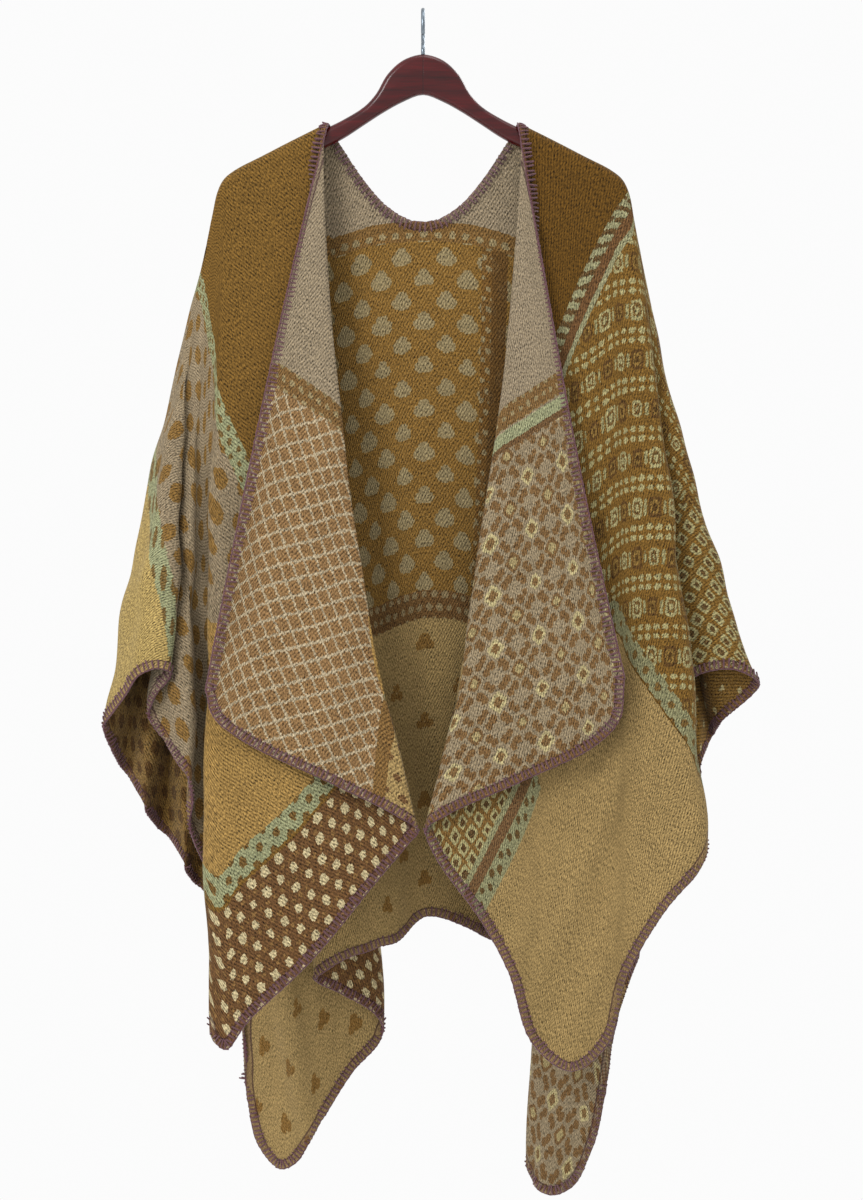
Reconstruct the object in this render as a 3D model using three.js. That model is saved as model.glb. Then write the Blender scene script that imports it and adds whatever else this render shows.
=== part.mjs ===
// Open-front blanket poncho hung on a wooden clothes hanger.
// Millimetres, +Z up, X to the viewer's right, Y away from the viewer.
// The origin is the inside top of the hook, where a rail or peg carries the hanger.
import * as THREE from "three";

// Cloth
const WALL = 2.5; // double-faced jacquard knit
const SEAM_GAP = 0.3; // clearance between two stretches of the same cloth
const ROLL = 9; // how far the cloth's middle stands off the hanger's middle plane
const LIFT_LENGTH = 22; // the turned-back lapel has come clear of the front after this drop
const FOLD_START = 0.15; // folds begin at this share of the way down
const COLUMN_STEPS = 2; // columns of wall for each row of a fold table
const RIDGE_REACH = 1; // a line whose top is nearer the middle plane than this starts on the shoulder line

// Hanger
const HANGER_THICK = 14;
const HANGER_ROUND = 6.3; // rounding of the wood's edges
const HANGER_ROUND_STEPS = 3;
const WIRE_RADIUS = 2;
const HOOK_RADIUS = 17; // to the middle of the wire
const HOOK_TOP = WIRE_RADIUS; // height of the wire's middle above the origin
const HOOK_START = -45; // degrees round the hook, from straight back
const HOOK_END = 215;
const HOOK_TURN = 20; // degrees from one point of its route to the next
const SHANK_STRAIGHT = 5; // the wire stands straight up from the wood this far
const SHANK_TOP = 10; // and has leant back by SHANK_LEAN at this height
const SHANK_LEAN = 4;
const WIRE_STEPS = 26;
const WIRE_SEGMENTS = 4;

// Where the wall is cut along a column: drops in millimetres round the hanger, then shares of its length
const ROLL_DROPS = [0, 1.3, 4.5, 9];
const SHARES = [0.05, 0.11, 0.18, 0.26, 0.35, 0.45, 0.56, 0.67, 0.78, 0.89, 1];
const LAST_ROW = ROLL_DROPS.length + SHARES.length - 1;
const YOKE_ROW = ROLL_DROPS.length + 2; // the back's top, over the hanger, ends at this row

// The shoulder line over one arm and on down the outer crease: outwards, back, up
const SHOULDER = [
  [95, 0, -112],
  [133, 0, -131],
  [160, 0, -145],
  [187, 0, -159],
  [198, 0, -168],
  [204, 0, -180],
  [208, 0, -200],
  [214, 0, -231],
  [223, 0, -268],
];
// The back neck edge, from the shoulder line down to the end of the slit
const NECK = [
  [95, 0, -112],
  [93.5, 6.5, -114.5],
  [91, 9.6, -121],
  [84, 9.8, -132],
  [60, 9.5, -168],
  [37, 9.5, -194],
  [14, 9.5, -208],
  [0, 9.5, -210],
];

// Fold tables. Each row is one line of cloth from the shoulder line to the edge below it:
//   top  distance along the shoulder line from the slit, or along the neck edge where negative
//   out  distance of its lower end from the middle plane
//   back, up  the rest of that end's place
//   bow  how far the line bulges outwards half way down
//   lift how far it stands in front of the fronts near the top
//   body 1 where the line is part of the hanging body, 0 where it is a fold that dies out upwards
const FRONT_LEFT = [
  // name, top, out, back, up, bow, lift, body
  ["slit_edge", 0, 213, -66, -676, 4, -5, 1],
  ["lapel_corner", 1.5, 205, -66, -702, 5, -5, 1],
  ["lapel_hem_outer", 3, 175, -67, -726, 8, -5, 1],
  ["lapel_hem_middle", 4.5, 90, -66, -767, 14, -5, 1],
  ["lapel_hem_inner", 6, 24, -64, -800, 19, -4.6, 1],
  ["lapel_fold", 8, 5, -60, -815, 21, -2.4, 1],
  ["panel_inner", 12, 14, -56, -826, 20, 0, 1],
  ["panel_a", 32, 49, -55, -868, 18, 0, 1],
  ["panel_b", 58, 111, -57, -943, 16, 0, 1],
  ["panel_c", 86, 172, -62, -1001, 14, 0, 1],
  ["panel_tip", 106, 194, -62, -1029, 12, 0, 1],
  ["panel_turn", 112, 211, -50, -1014, 11, 0, 0],
  ["behind", 116, 190, -34, -985, 10, 0, 0],
  ["outer_corner", 120, 163, -24, -966, 10, 0, 0],
  ["corner_turn", 123, 158, -13, -945, 10, 0, 0],
  ["side_a", 126, 184, -7, -905, 10, 0, 0],
  ["side_b", 130, 213, -13, -858, 9, 0, 0],
  ["side_c", 133, 230, -24, -814, 9, 0, 0],
  ["side_d", 136, 227, -35, -785, 9, 0, 0],
  ["side_e", 139, 232, -41, -765, 9, 0, 0],
  ["side_f", 142, 246, -32, -745, 8, 0, 0],
  ["fold_tip", 146, 258, -17, -727, 8, 0, 0],
  ["valley", 150, 272, -14, -706, 8, 0, 0],
  ["return", 154, 264, -26, -682, 8, 0, 0],
  ["sleeve_tip", 158, 248, -36, -662, 8, 0, 0],
  ["sleeve_a", 161, 250, -44, -658, 7, 0, 0],
  ["sleeve_b", 165, 264, -47, -655, 7, 0, 0],
  ["sleeve_c", 170, 283, -41, -663, 7, 0, 0],
  ["sleeve_d", 176, 297, -28, -683, 6, 0, 0],
  ["sleeve_e", 183, 312, -12, -702, 6, 0, 0],
];
const CREST_LEFT = ["crest_left", 192, 320, 0, -714, 6, 0, 1];
const BACK_LEFT = [
  ["side_a", 183, 313, 15, -736, 6, 0, 0],
  ["pleat_a", 178, 300, 42, -764, 6, 0, 0],
  ["side_b", 172, 280, 24, -796, 5, 0, 0],
  ["pleat_b", 166, 262, 56, -826, 4, 0, 0],
  ["side_c", 160, 240, 27, -856, 4, 0, 0],
  ["pleat_c", 155, 226, 52, -880, 3, 0, 0],
  ["side_d", 150, 206, 27, -902, 3, 0, 0],
  ["side_e", 146, 178, 33, -925, 2, 0, 0],
  ["side_f", 142, 148, 42, -945, 1, 0, 0],
  ["side_g", 138, 138, 53, -955, 0, 0, 0],
  ["side_h", 133, 147, 65, -968, 0, 0, 0],
  ["side_i", 128, 172, 76, -988, 0, 0, 0],
  ["side_j", 124, 186, 88, -1022, 0, 0, 0],
  ["side_k", 120, 184, 98, -1062, 0, 0, 0],
  ["side_l", 117, 179, 102, -1108, 0, 0, 0],
  ["side_m", 114, 168, 103, -1150, 0, 0, 0],
  ["tail_corner", 110, 147, 100, -1172, 0, 0, 1],
  ["tail_a", 106, 129, 88, -1162, 0, 0, 0],
  ["tail_b", 98, 105, 87, -1122, 0, 0, 0],
  ["tail_c", 88, 72, 85, -1070, 0, 0, 0],
  ["tail_fold_right", 78, 42, 76, -1033, 0, 0, 0],
  ["tail_d", 70, 50, 62, -1008, 0, 0, 0],
  ["tail_e", 60, 86, 50, -985, 0, 0, 0],
  ["tail_fold_left", 50, 107, 37, -972, 0, 0, 0],
  ["hem_a", 38, 93, 23, -957, 0, 0, 0],
  ["hem_b", 14, 68, 24, -945, 0, 0, 0],
  ["hem_c", 1, 58, 25, -942, 0, 0, 0],
  ["hem_d", -8, 51, 26, -939, 0, 0, 0],
  ["hem_e", -20, 43, 28, -936, 0, 0, 0],
  ["hem_f", -60, 27, 33, -932, 0, 0, 0],
  ["hem_g", -104, 12, 38, -920, 0, 0, 0],
];
const BACK_CENTRE = ["centre", -145, 0, 42, -908, 0, 0, 1];
const BACK_RIGHT = [
  ["hem_a", -104, 14, 46, -908, 0, 0, 0],
  ["hem_b", -60, 32, 51, -914, 0, 0, 0],
  ["hem_c", -20, 56, 66, -926, 0, 0, 0],
  ["hem_d", -8, 65, 74, -932, 0, 0, 0],
  ["hem_e", 1, 76, 76, -937, 0, 0, 0],
  ["hem_f", 15, 92, 64, -947, 0, 0, 0],
  ["hem_g", 26, 108, 68, -955, 0, 0, 0],
  ["hem_h", 36, 124, 98, -966, 0, 0, 0],
  ["hem_i", 46, 146, 84, -984, 0, 0, 0],
  ["hem_j", 53, 162, 92, -998, 0, 0, 0],
  ["fold_right", 60, 178, 78, -1015, 0, 0, 0],
  ["under_a", 72, 160, 60, -1055, 0, 0, 0],
  ["under_b", 84, 128, 48, -1115, 0, 0, 0],
  ["tail_fold", 93, 106, 33, -1160, 0, 0, 0],
  ["tail_a", 99, 113, 19, -1177, 0, 0, 0],
  ["tail_b", 105, 129, 11, -1184, 0, 0, 0],
  ["tail_corner", 111, 151, 8, -1174, 0, 0, 1],
  ["tail_c", 116, 173, 8, -1128, 0, 0, 0],
  ["tail_d", 120, 182, 9, -1083, 0, 0, 0],
  ["tail_e", 125, 188, 12, -1037, 0, 0, 0],
  ["side_a", 131, 203, 18, -978, 0, 0, 0],
  ["pleat_a", 135, 218, 46, -944, 0, 0, 0],
  ["side_b", 139, 234, 28, -906, -1, 0, 0],
  ["pleat_b", 143, 248, 64, -868, -2, 0, 0],
  ["side_c", 147, 260, 34, -832, -3, 0, 0],
  ["pleat_c", 152, 275, 64, -794, -4, 0, 0],
  ["side_d", 158, 279, 28, -758, -5, 0, 0],
  ["pleat_d", 164, 292, 50, -728, -6, 0, 0],
  ["side_e", 172, 300, 20, -709, -7, 0, 0],
  ["side_f", 183, 326, 13, -686, -8, 0, 0],
];
const CREST_RIGHT = ["crest_right", 192, 335, 0, -673, -9, 0, 1];
// From the slit outwards, as on the left
const FRONT_RIGHT = [
  ["slit_edge", 0, 198, -66, -664, -5, -5, 1],
  ["lapel_corner", 1.5, 193, -66, -704, -3, -5, 1],
  ["lapel_hem_outer", 3, 167, -67, -731, 0, -5, 1],
  ["lapel_hem_middle", 4.5, 97, -66, -765, 6, -5, 1],
  ["lapel_hem_inner", 6, 24, -64, -798, 12, -4.6, 1],
  ["lapel_fold", 8, 5, -60, -814, 14, -2.4, 1],
  ["panel_inner", 12, 13, -56, -840, 13, 0, 1],
  ["panel_a", 32, 59, -54, -905, 12, 0, 1],
  ["panel_b", 52, 85, -56, -954, 11, 0, 1],
  ["panel_c", 72, 108, -60, -1023, 10, 0, 1],
  ["panel_tip", 88, 146, -62, -1050, 9, 0, 1],
  ["panel_corner", 98, 181, -61, -1024, 9, 0, 1],
  ["side_a", 104, 200, -58, -958, 9, 0, 1],
  ["side_b", 110, 238, -57, -893, 9, 0, 1],
  ["side_fold", 117, 274, -53, -850, 9, 0, 1],
  ["side_turn", 123, 280, -41, -826, 7, 0, 0],
  ["behind", 130, 260, -30, -782, 4, 0, 0],
  ["valley", 138, 236, -20, -735, 0, 0, 0],
  ["sleeve_in", 146, 238, -8, -694, -3, 0, 0],
  ["sleeve_a", 156, 270, -8, -664, -5, 0, 0],
  ["sleeve_b", 170, 306, -15, -656, -7, 0, 0],
  ["sleeve_c", 183, 328, -10, -665, -9, 0, 0],
];

// The hanger's outline, one half: outwards and up, from the middle of its top to the middle of its underside
const HANGER_HALF = [
  [5, -43],
  [21, -49],
  [36, -63],
  [47, -82],
  [59, -95],
  [80, -108],
  [95, -115.5],
  [140, -138.5],
  [184, -162],
  [192, -168],
  [194, -175],
  [190, -181],
  [183, -182],
  [140, -158],
  [100, -137],
  [80, -127],
  [57, -112],
  [40, -101],
  [20, -90],
];
const HANGER_UNDER = -83;

const CLOTH = { color: 0x8a6a2c, roughness: 0.95, metalness: 0 };
const CLOTH_REVERSE = { color: 0x9c8a6a, roughness: 0.95, metalness: 0 };
const WOOD = { color: 0x4b0606, roughness: 0.35, metalness: 0 };
const STEEL = { color: 0x59646e, roughness: 0.3, metalness: 1 };

const curveOf = (points) => new THREE.CatmullRomCurve3(points.map((p) => new THREE.Vector3(...p)));
const SHOULDER_CURVE = curveOf(SHOULDER);
const NECK_CURVE = curveOf(NECK);
const NECK_LENGTH = NECK_CURVE.getLength();
const SHOULDER_LENGTH = SHOULDER_CURVE.getLength();
const smooth = (t) => t * t * (3 - 2 * t);
const clamp01 = (t) => Math.min(1, Math.max(0, t));

// A row of a fold table as numbers that blend into the next row's. side is -1 left and 1 right, and
// facing is -1 in front, 0 at the outer crease and 1 behind. way is the distance from the neck's middle.
function lineOf(row, side, facing) {
  const [name, top, out, back, up, bow, lift, body] = row;
  const way = side * Math.max(0, top + NECK_LENGTH);
  const parts = { way, endX: side * out, endY: back, endZ: up, bow: side * bow, lift, facing, foldX: 0, foldY: 0 };
  return { name, body: body === 1, parts };
}

// How far each line's lower end stands off the body, which runs straight from one body line to the next.
function addFolds(lines) {
  const bodies = lines.map((line, i) => (line.body ? i : -1)).filter((i) => i >= 0);
  lines.forEach((line, i) => {
    const after = bodies.find((b) => b >= i);
    const before = bodies.filter((b) => b <= i).pop();
    const reach = lines[after].parts.way - lines[before].parts.way;
    const share = after === before ? 0 : (line.parts.way - lines[before].parts.way) / reach;
    const at = (key) => THREE.MathUtils.lerp(lines[before].parts[key], lines[after].parts[key], share);
    line.parts.foldX = line.parts.endX - at("endX");
    line.parts.foldY = line.parts.endY - at("endY");
  });
  return lines;
}

// Lines between the table's rows, on a smooth curve through them.
function spread(lines) {
  const gaps = lines.slice(1).map((line, i) => {
    const a = lines[i].parts;
    const b = line.parts;
    return Math.sqrt(Math.hypot(a.endX - b.endX, a.endY - b.endY, a.endZ - b.endZ));
  });
  const last = lines.length - 1;
  const slope = (i, key) => {
    const near = Math.max(0, i - 1);
    const far = Math.min(last - 1, i);
    const before = (lines[near + 1].parts[key] - lines[near].parts[key]) / gaps[near];
    const after = (lines[far + 1].parts[key] - lines[far].parts[key]) / gaps[far];
    return (before * gaps[far] + after * gaps[near]) / (gaps[near] + gaps[far]);
  };
  const dense = [];
  for (let i = 0; i < last; i++) {
    for (let step = 0; step < COLUMN_STEPS; step++) {
      const t = step / COLUMN_STEPS;
      const parts = {};
      for (const [key, value] of Object.entries(lines[i].parts)) {
        const next = lines[i + 1].parts[key];
        const rise = slope(i, key) * gaps[i];
        const fall = slope(i + 1, key) * gaps[i];
        const cube = 2 * (value - next) + rise + fall;
        const square = 3 * (next - value) - 2 * rise - fall;
        parts[key] = ((cube * t + square) * t + rise) * t + value;
      }
      parts.facing = Math.min(1, Math.max(-1, parts.facing));
      dense.push(parts);
    }
  }
  dense.push(lines[last].parts);
  return dense;
}

// The point on the shoulder line or the neck edge at this way from the neck's middle.
function shoulderAt(way) {
  const past = Math.abs(way) - NECK_LENGTH;
  const point =
    past < 0
      ? NECK_CURVE.getPointAt(clamp01(-past / NECK_LENGTH))
      : SHOULDER_CURVE.getPointAt(clamp01(past / SHOULDER_LENGTH));
  point.x *= Math.sign(way);
  return point;
}

// The points down one line, rolled over the hanger first and then falling to the edge.
function pointsDown({ way, endX, endY, endZ, bow, lift, facing, foldX, foldY }) {
  const start = shoulderAt(way);
  const length = Math.hypot(endX - start.x, endY - start.y, endZ - start.z);
  const hang = facing * ROLL;
  const stations = [...ROLL_DROPS.map((drop) => drop / length), ...SHARES];
  return stations.map((t) => {
    const drop = t * length;
    const turn = Math.sqrt(1 - (1 - clamp01(drop / ROLL)) ** 2);
    const grown = smooth(clamp01((t - FOLD_START) / (1 - FOLD_START)));
    const lifted = lift * smooth(clamp01(drop / LIFT_LENGTH)) * (1 - t);
    const bowed = bow * 4 * t * (1 - t); // 4 brings it to its whole width half way down
    const x = start.x + (endX - foldX - start.x) * t + foldX * grown + bowed;
    const y = start.y + (hang - start.y) * turn + (endY - foldY - hang) * t + foldY * grown + lifted;
    return new THREE.Vector3(x, y, start.z + (endZ - start.z) * t);
  });
}

// A grid of points and of unit normals, which point out of the garment, over the whole cloth.
function surfaceOf(lines) {
  const dense = spread(lines);
  const points = dense.map(pointsDown);
  const columns = points.length;
  const rows = points[0].length;
  const normals = points.map((column, i) =>
    column.map((point, j) => {
      const across = points[Math.min(i + 1, columns - 1)][j].clone().sub(points[Math.max(i - 1, 0)][j]);
      const down = column[Math.min(j + 1, rows - 1)].clone().sub(column[Math.max(j - 1, 0)]);
      if (j === 0 && Math.abs(point.y) < RIDGE_REACH) down.set(0, dense[i].facing, 0);
      if (j === 0 && dense[i].facing === 0) down.copy(column[1]).sub(column[0]);
      return across.cross(down).normalize();
    }),
  );
  points.forEach((column, i) => {
    if (Math.abs(column[0].y) < SEAM_GAP / 2) column[0].y = (Math.sign(dense[i].facing) * SEAM_GAP) / 2;
  });
  return { points, normals, names: lines.map((line) => line.name) };
}

// The closed wall over the columns from one named line to another and the rows from one to another.
// It is pulled in where it meets the next stretch: seams says which of its start, end, top and bottom do.
function wallBetween(surface, { from, to, rowFrom, rowTo, seams }) {
  const first = surface.names.indexOf(from) * COLUMN_STEPS;
  const last = surface.names.indexOf(to) * COLUMN_STEPS;
  const cut = (grid) => grid.slice(first, last + 1).map((column) => column.slice(rowFrom, rowTo + 1));
  const points = cut(surface.points).map((column) => column.map((p) => p.clone()));
  const normals = cut(surface.normals);
  const pullIn = (edge, next) =>
    edge.forEach((p, j) => p.add(next[j].clone().sub(p).setLength(SEAM_GAP / 2)));
  const rowOf = (j) => points.map((column) => column.at(j));
  if (seams.includes("start")) pullIn(points[0], points[1]);
  if (seams.includes("end")) pullIn(points.at(-1), points.at(-2));
  if (seams.includes("top")) pullIn(rowOf(0), rowOf(1));
  if (seams.includes("bottom")) pullIn(rowOf(-1), rowOf(-2));
  const columns = points.length;
  const rows = points[0].length;
  const position = [];
  for (const sign of [1, -1]) {
    points.forEach((column, i) =>
      column.forEach((p, j) => {
        const q = p.clone().addScaledVector(normals[i][j], (sign * WALL) / 2);
        position.push(q.x, q.y, q.z);
      }),
    );
  }
  const index = [];
  const at = (sheet, i, j) => (sheet * columns + i) * rows + j;
  const quad = (a, b, c, d) => index.push(a, b, c, a, c, d);
  for (let i = 0; i < columns - 1; i++) {
    for (let j = 0; j < rows - 1; j++) {
      quad(at(0, i, j), at(0, i + 1, j), at(0, i + 1, j + 1), at(0, i, j + 1));
      quad(at(1, i, j), at(1, i, j + 1), at(1, i + 1, j + 1), at(1, i + 1, j));
    }
    quad(at(0, i, 0), at(1, i, 0), at(1, i + 1, 0), at(0, i + 1, 0));
    quad(at(0, i, rows - 1), at(0, i + 1, rows - 1), at(1, i + 1, rows - 1), at(1, i, rows - 1));
  }
  for (let j = 0; j < rows - 1; j++) {
    quad(at(0, 0, j), at(0, 0, j + 1), at(1, 0, j + 1), at(1, 0, j));
    quad(at(0, columns - 1, j), at(1, columns - 1, j), at(1, columns - 1, j + 1), at(0, columns - 1, j + 1));
  }
  const geometry = new THREE.BufferGeometry();
  geometry.setAttribute("position", new THREE.Float32BufferAttribute(position, 3));
  geometry.setIndex(index);
  geometry.computeVertexNormals();
  return geometry;
}

// The wooden hanger: its outline with rounded edges, standing on the middle plane.
function hangerWood() {
  const right = HANGER_HALF.map(([x, z]) => new THREE.Vector2(x, z));
  const left = right.map((p) => new THREE.Vector2(-p.x, p.y)).reverse();
  const shape = new THREE.Shape([...right, new THREE.Vector2(0, HANGER_UNDER), ...left]);
  const geometry = new THREE.ExtrudeGeometry(shape, {
    depth: HANGER_THICK - 2 * HANGER_ROUND,
    bevelThickness: HANGER_ROUND,
    bevelSize: HANGER_ROUND,
    bevelOffset: -HANGER_ROUND,
    bevelSegments: HANGER_ROUND_STEPS,
    curveSegments: 1,
  });
  geometry.translate(0, 0, HANGER_ROUND - HANGER_THICK / 2);
  geometry.rotateX(Math.PI / 2);
  return geometry;
}

// The wire hook: up from the wood, round behind, over the top and down in front.
function hangerHook() {
  const foot = HANGER_HALF[0][1] + SEAM_GAP;
  const centre = HOOK_TOP - HOOK_RADIUS;
  const route = [
    new THREE.Vector3(0, 0, foot),
    new THREE.Vector3(0, 0, foot + SHANK_STRAIGHT),
    new THREE.Vector3(0, SHANK_LEAN, foot + SHANK_TOP),
  ];
  for (let angle = HOOK_START; angle <= HOOK_END; angle += HOOK_TURN) {
    const a = THREE.MathUtils.degToRad(angle);
    route.push(new THREE.Vector3(0, HOOK_RADIUS * Math.cos(a), centre + HOOK_RADIUS * Math.sin(a)));
  }
  const section = new THREE.Shape().absarc(0, 0, WIRE_RADIUS, 0, 2 * Math.PI);
  return new THREE.ExtrudeGeometry(section, {
    extrudePath: new THREE.CatmullRomCurve3(route),
    steps: WIRE_STEPS,
    curveSegments: WIRE_SEGMENTS,
  });
}

const named = (side, rows) => rows.map(([name, ...rest]) => [`${side}_${name}`, ...rest]);
const cloth = surfaceOf(
  addFolds([
    ...named("front_left", FRONT_LEFT).map((row) => lineOf(row, -1, -1)),
    lineOf(CREST_LEFT, -1, 0),
    ...named("back_left", BACK_LEFT).map((row) => lineOf(row, -1, 1)),
    lineOf(BACK_CENTRE, 1, 1),
    ...named("back_right", BACK_RIGHT).map((row) => lineOf(row, 1, 1)),
    lineOf(CREST_RIGHT, 1, 0),
    ...named("front_right", FRONT_RIGHT).reverse().map((row) => lineOf(row, 1, -1)),
  ]),
);

// Stretches of the cloth, in order round the garment: name, first line, last line, colour, first row.
// The back's stretches hang from its yoke.
const STRETCHES = [
  ["lapel_left", "front_left_slit_edge", "front_left_lapel_fold", CLOTH_REVERSE, 0],
  ["front_left", "front_left_lapel_fold", "front_left_panel_turn", CLOTH, 0],
  ["return_left", "front_left_panel_turn", "front_left_side_a", CLOTH, 0],
  ["fold_left", "front_left_side_a", "front_left_fold_tip", CLOTH, 0],
  ["sleeve_left", "front_left_fold_tip", "crest_left", CLOTH, 0],
  ["side_left", "crest_left", "back_left_side_g", CLOTH, YOKE_ROW],
  ["tail_left", "back_left_side_g", "back_left_tail_fold_right", CLOTH, YOKE_ROW],
  ["tail_left_fold", "back_left_tail_fold_right", "back_left_tail_fold_left", CLOTH, YOKE_ROW],
  ["back_left", "back_left_tail_fold_left", "centre", CLOTH, YOKE_ROW],
  ["back_right", "centre", "back_right_fold_right", CLOTH, YOKE_ROW],
  ["tail_right_fold", "back_right_fold_right", "back_right_tail_fold", CLOTH, YOKE_ROW],
  ["tail_right", "back_right_tail_fold", "back_right_side_a", CLOTH, YOKE_ROW],
  ["side_right", "back_right_side_a", "crest_right", CLOTH, YOKE_ROW],
  ["sleeve_right", "crest_right", "front_right_sleeve_a", CLOTH, 0],
  ["fold_right", "front_right_sleeve_a", "front_right_side_turn", CLOTH, 0],
  ["front_right", "front_right_side_turn", "front_right_lapel_fold", CLOTH, 0],
  ["lapel_right", "front_right_lapel_fold", "front_right_slit_edge", CLOTH_REVERSE, 0],
];
const YOKES = [
  ["yoke_left", "crest_left", "back_left_hem_c"],
  ["yoke_neck", "back_left_hem_c", "back_right_hem_e"],
  ["yoke_right", "back_right_hem_e", "crest_right"],
];

const part = new THREE.Group();
function add(name, geometry, look) {
  const mesh = new THREE.Mesh(geometry, new THREE.MeshStandardMaterial(look));
  mesh.name = name;
  part.add(mesh);
}

STRETCHES.forEach(([name, from, to, look, rowFrom], i) => {
  const seams = [i > 0 && "start", i < STRETCHES.length - 1 && "end", rowFrom > 0 && "top"];
  add(name, wallBetween(cloth, { from, to, rowFrom, rowTo: LAST_ROW, seams }), look);
});
YOKES.forEach(([name, from, to]) => {
  const seams = ["start", "end", "bottom"];
  add(name, wallBetween(cloth, { from, to, rowFrom: 0, rowTo: YOKE_ROW, seams }), CLOTH);
});
add("hanger_wood", hangerWood(), WOOD);
add("hanger_hook", hangerHook(), STEEL);

export default part;
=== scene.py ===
import math

import bmesh
import bpy
import numpy as np
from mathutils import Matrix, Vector


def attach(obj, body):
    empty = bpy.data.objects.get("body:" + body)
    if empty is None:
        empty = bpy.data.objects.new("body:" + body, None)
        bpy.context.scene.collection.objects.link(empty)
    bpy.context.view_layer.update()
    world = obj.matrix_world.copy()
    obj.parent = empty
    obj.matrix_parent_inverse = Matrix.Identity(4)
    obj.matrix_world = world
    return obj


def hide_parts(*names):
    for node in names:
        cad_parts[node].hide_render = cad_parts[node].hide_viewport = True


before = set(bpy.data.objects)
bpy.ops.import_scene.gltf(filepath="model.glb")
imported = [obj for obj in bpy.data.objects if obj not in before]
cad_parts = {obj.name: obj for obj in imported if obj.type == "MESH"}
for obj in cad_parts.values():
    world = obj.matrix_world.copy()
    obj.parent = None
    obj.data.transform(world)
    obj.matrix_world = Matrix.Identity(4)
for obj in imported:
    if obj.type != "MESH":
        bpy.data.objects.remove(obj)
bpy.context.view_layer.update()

# Hanger body
# One board of hardwood, sawn to shape, rounded over along both faces and stained dark cherry
# under a clear lacquer. The wire hook is screwed into the top of its neck.
MM = 0.001
BOARD_THICK = 14 * MM
BOARD_ROUND = 6.3 * MM
ROUND_STEPS = 12
ROUND_DRAWN = 0.92
BOARD_HALF = [
    (5, -43), (21, -49), (36, -63), (47, -82), (59, -95), (80, -108), (95, -115.5),
    (140, -138.5), (184, -162), (192, -168), (194, -175), (190, -181), (183, -182),
    (140, -158), (100, -137), (80, -127), (57, -112), (40, -101), (20, -90),
]
BOARD_UNDER = (0, -83)


def linear(code):
    """A colour written as a hex code, in the linear values that the shaders take."""
    channels = [int(code[i : i + 2], 16) / 255 for i in (0, 2, 4)]
    return tuple(c / 12.92 if c < 0.04045 else ((c + 0.055) / 1.055) ** 2.4 for c in channels)


def smooth_line(corners, steps, closed=False):
    """Points on a rounded line through corners, with steps points for each stretch."""
    corners = np.asarray(corners, float)
    count = len(corners)
    if closed:
        before, after = np.roll(corners, 1, 0), np.roll(corners, -1, 0)
        far = np.roll(corners, -2, 0)
        last = count
    else:
        ends = np.vstack([2 * corners[0] - corners[1], corners, 2 * corners[-1] - corners[-2]])
        before, after = ends[:-2], ends[2:]
        far = np.vstack([ends[3:], ends[-1]])
        last = count - 1
    made = []
    for i in range(last):
        a, b, c, d = before[i], corners[i], after[i], far[i]
        spans = [max(np.linalg.norm(q - p) ** 0.5, 1e-6) for p, q in ((a, b), (b, c), (c, d))]
        leave = ((b - a) / spans[0] - (c - a) / (spans[0] + spans[1]) + (c - b) / spans[1]) * spans[1]
        reach = ((c - b) / spans[1] - (d - b) / (spans[1] + spans[2]) + (d - c) / spans[2]) * spans[1]
        for t in np.arange(steps) / steps:
            cube = 2 * b - 2 * c + leave + reach
            square = -3 * b + 3 * c - 2 * leave - reach
            made.append(((cube * t + square) * t + leave) * t + b)
    if not closed:
        made.append(corners[-1])
    return np.array(made)


def mesh_piece(name, points, faces, materials):
    """A new object at the origin, whose place is in its mesh."""
    mesh = bpy.data.meshes.new(name)
    mesh.from_pydata([tuple(p) for p in points], [], faces)
    for material in materials:
        mesh.materials.append(material)
    mesh.polygons.foreach_set("use_smooth", [True] * len(mesh.polygons))
    mesh.update()
    piece = bpy.data.objects.new(name, mesh)
    bpy.context.scene.collection.objects.link(piece)
    return piece


class Wiring:
    """Puts nodes into one node tree and joins them."""

    def __init__(self, tree):
        self.tree = tree

    def put(self, kind, values=None, **settings):
        """A node with its settings, and each input linked to a socket or set to a value."""
        node = self.tree.nodes.new(kind)
        for key, value in settings.items():
            setattr(node, key, value)
        for key, value in (values or {}).items():
            socket = node.inputs[key]
            if isinstance(value, bpy.types.NodeSocket):
                self.tree.links.new(value, socket)
            elif isinstance(value, tuple) and socket.type == "RGBA":
                socket.default_value = (*value, 1)
            else:
                socket.default_value = value
        return node

    def maths(self, operation, *values, clamp=False):
        inputs = dict(enumerate(values))
        return self.put("ShaderNodeMath", inputs, operation=operation, use_clamp=clamp).outputs[0]

    def mix(self, share, first, second):
        """One colour over another. A colour's sockets on this node are numbers 6, 7 and 2."""
        return self.put("ShaderNodeMix", {0: share, 6: first, 7: second}, data_type="RGBA").outputs[2]

    def group(self, group, **values):
        return self.put("ShaderNodeGroup", values, node_tree=group)


def shader_group(name, inputs, outputs):
    """An empty shader node group with its sockets, and the wiring, input node and output node."""
    tree = bpy.data.node_groups.new(name, "ShaderNodeTree")
    kinds = {"float": "NodeSocketFloat", "vector": "NodeSocketVector", "color": "NodeSocketColor"}
    for label, kind in inputs:
        tree.interface.new_socket(label, in_out="INPUT", socket_type=kinds[kind])
    for label, kind in outputs:
        tree.interface.new_socket(label, in_out="OUTPUT", socket_type=kinds[kind])
    wiring = Wiring(tree)
    return tree, wiring, wiring.put("NodeGroupInput"), wiring.put("NodeGroupOutput")


def new_material(name):
    """An empty material, and the wiring of its node tree."""
    material = bpy.data.materials.new(name)
    material.use_nodes = True
    material.node_tree.nodes.clear()
    return material, Wiring(material.node_tree)


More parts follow.
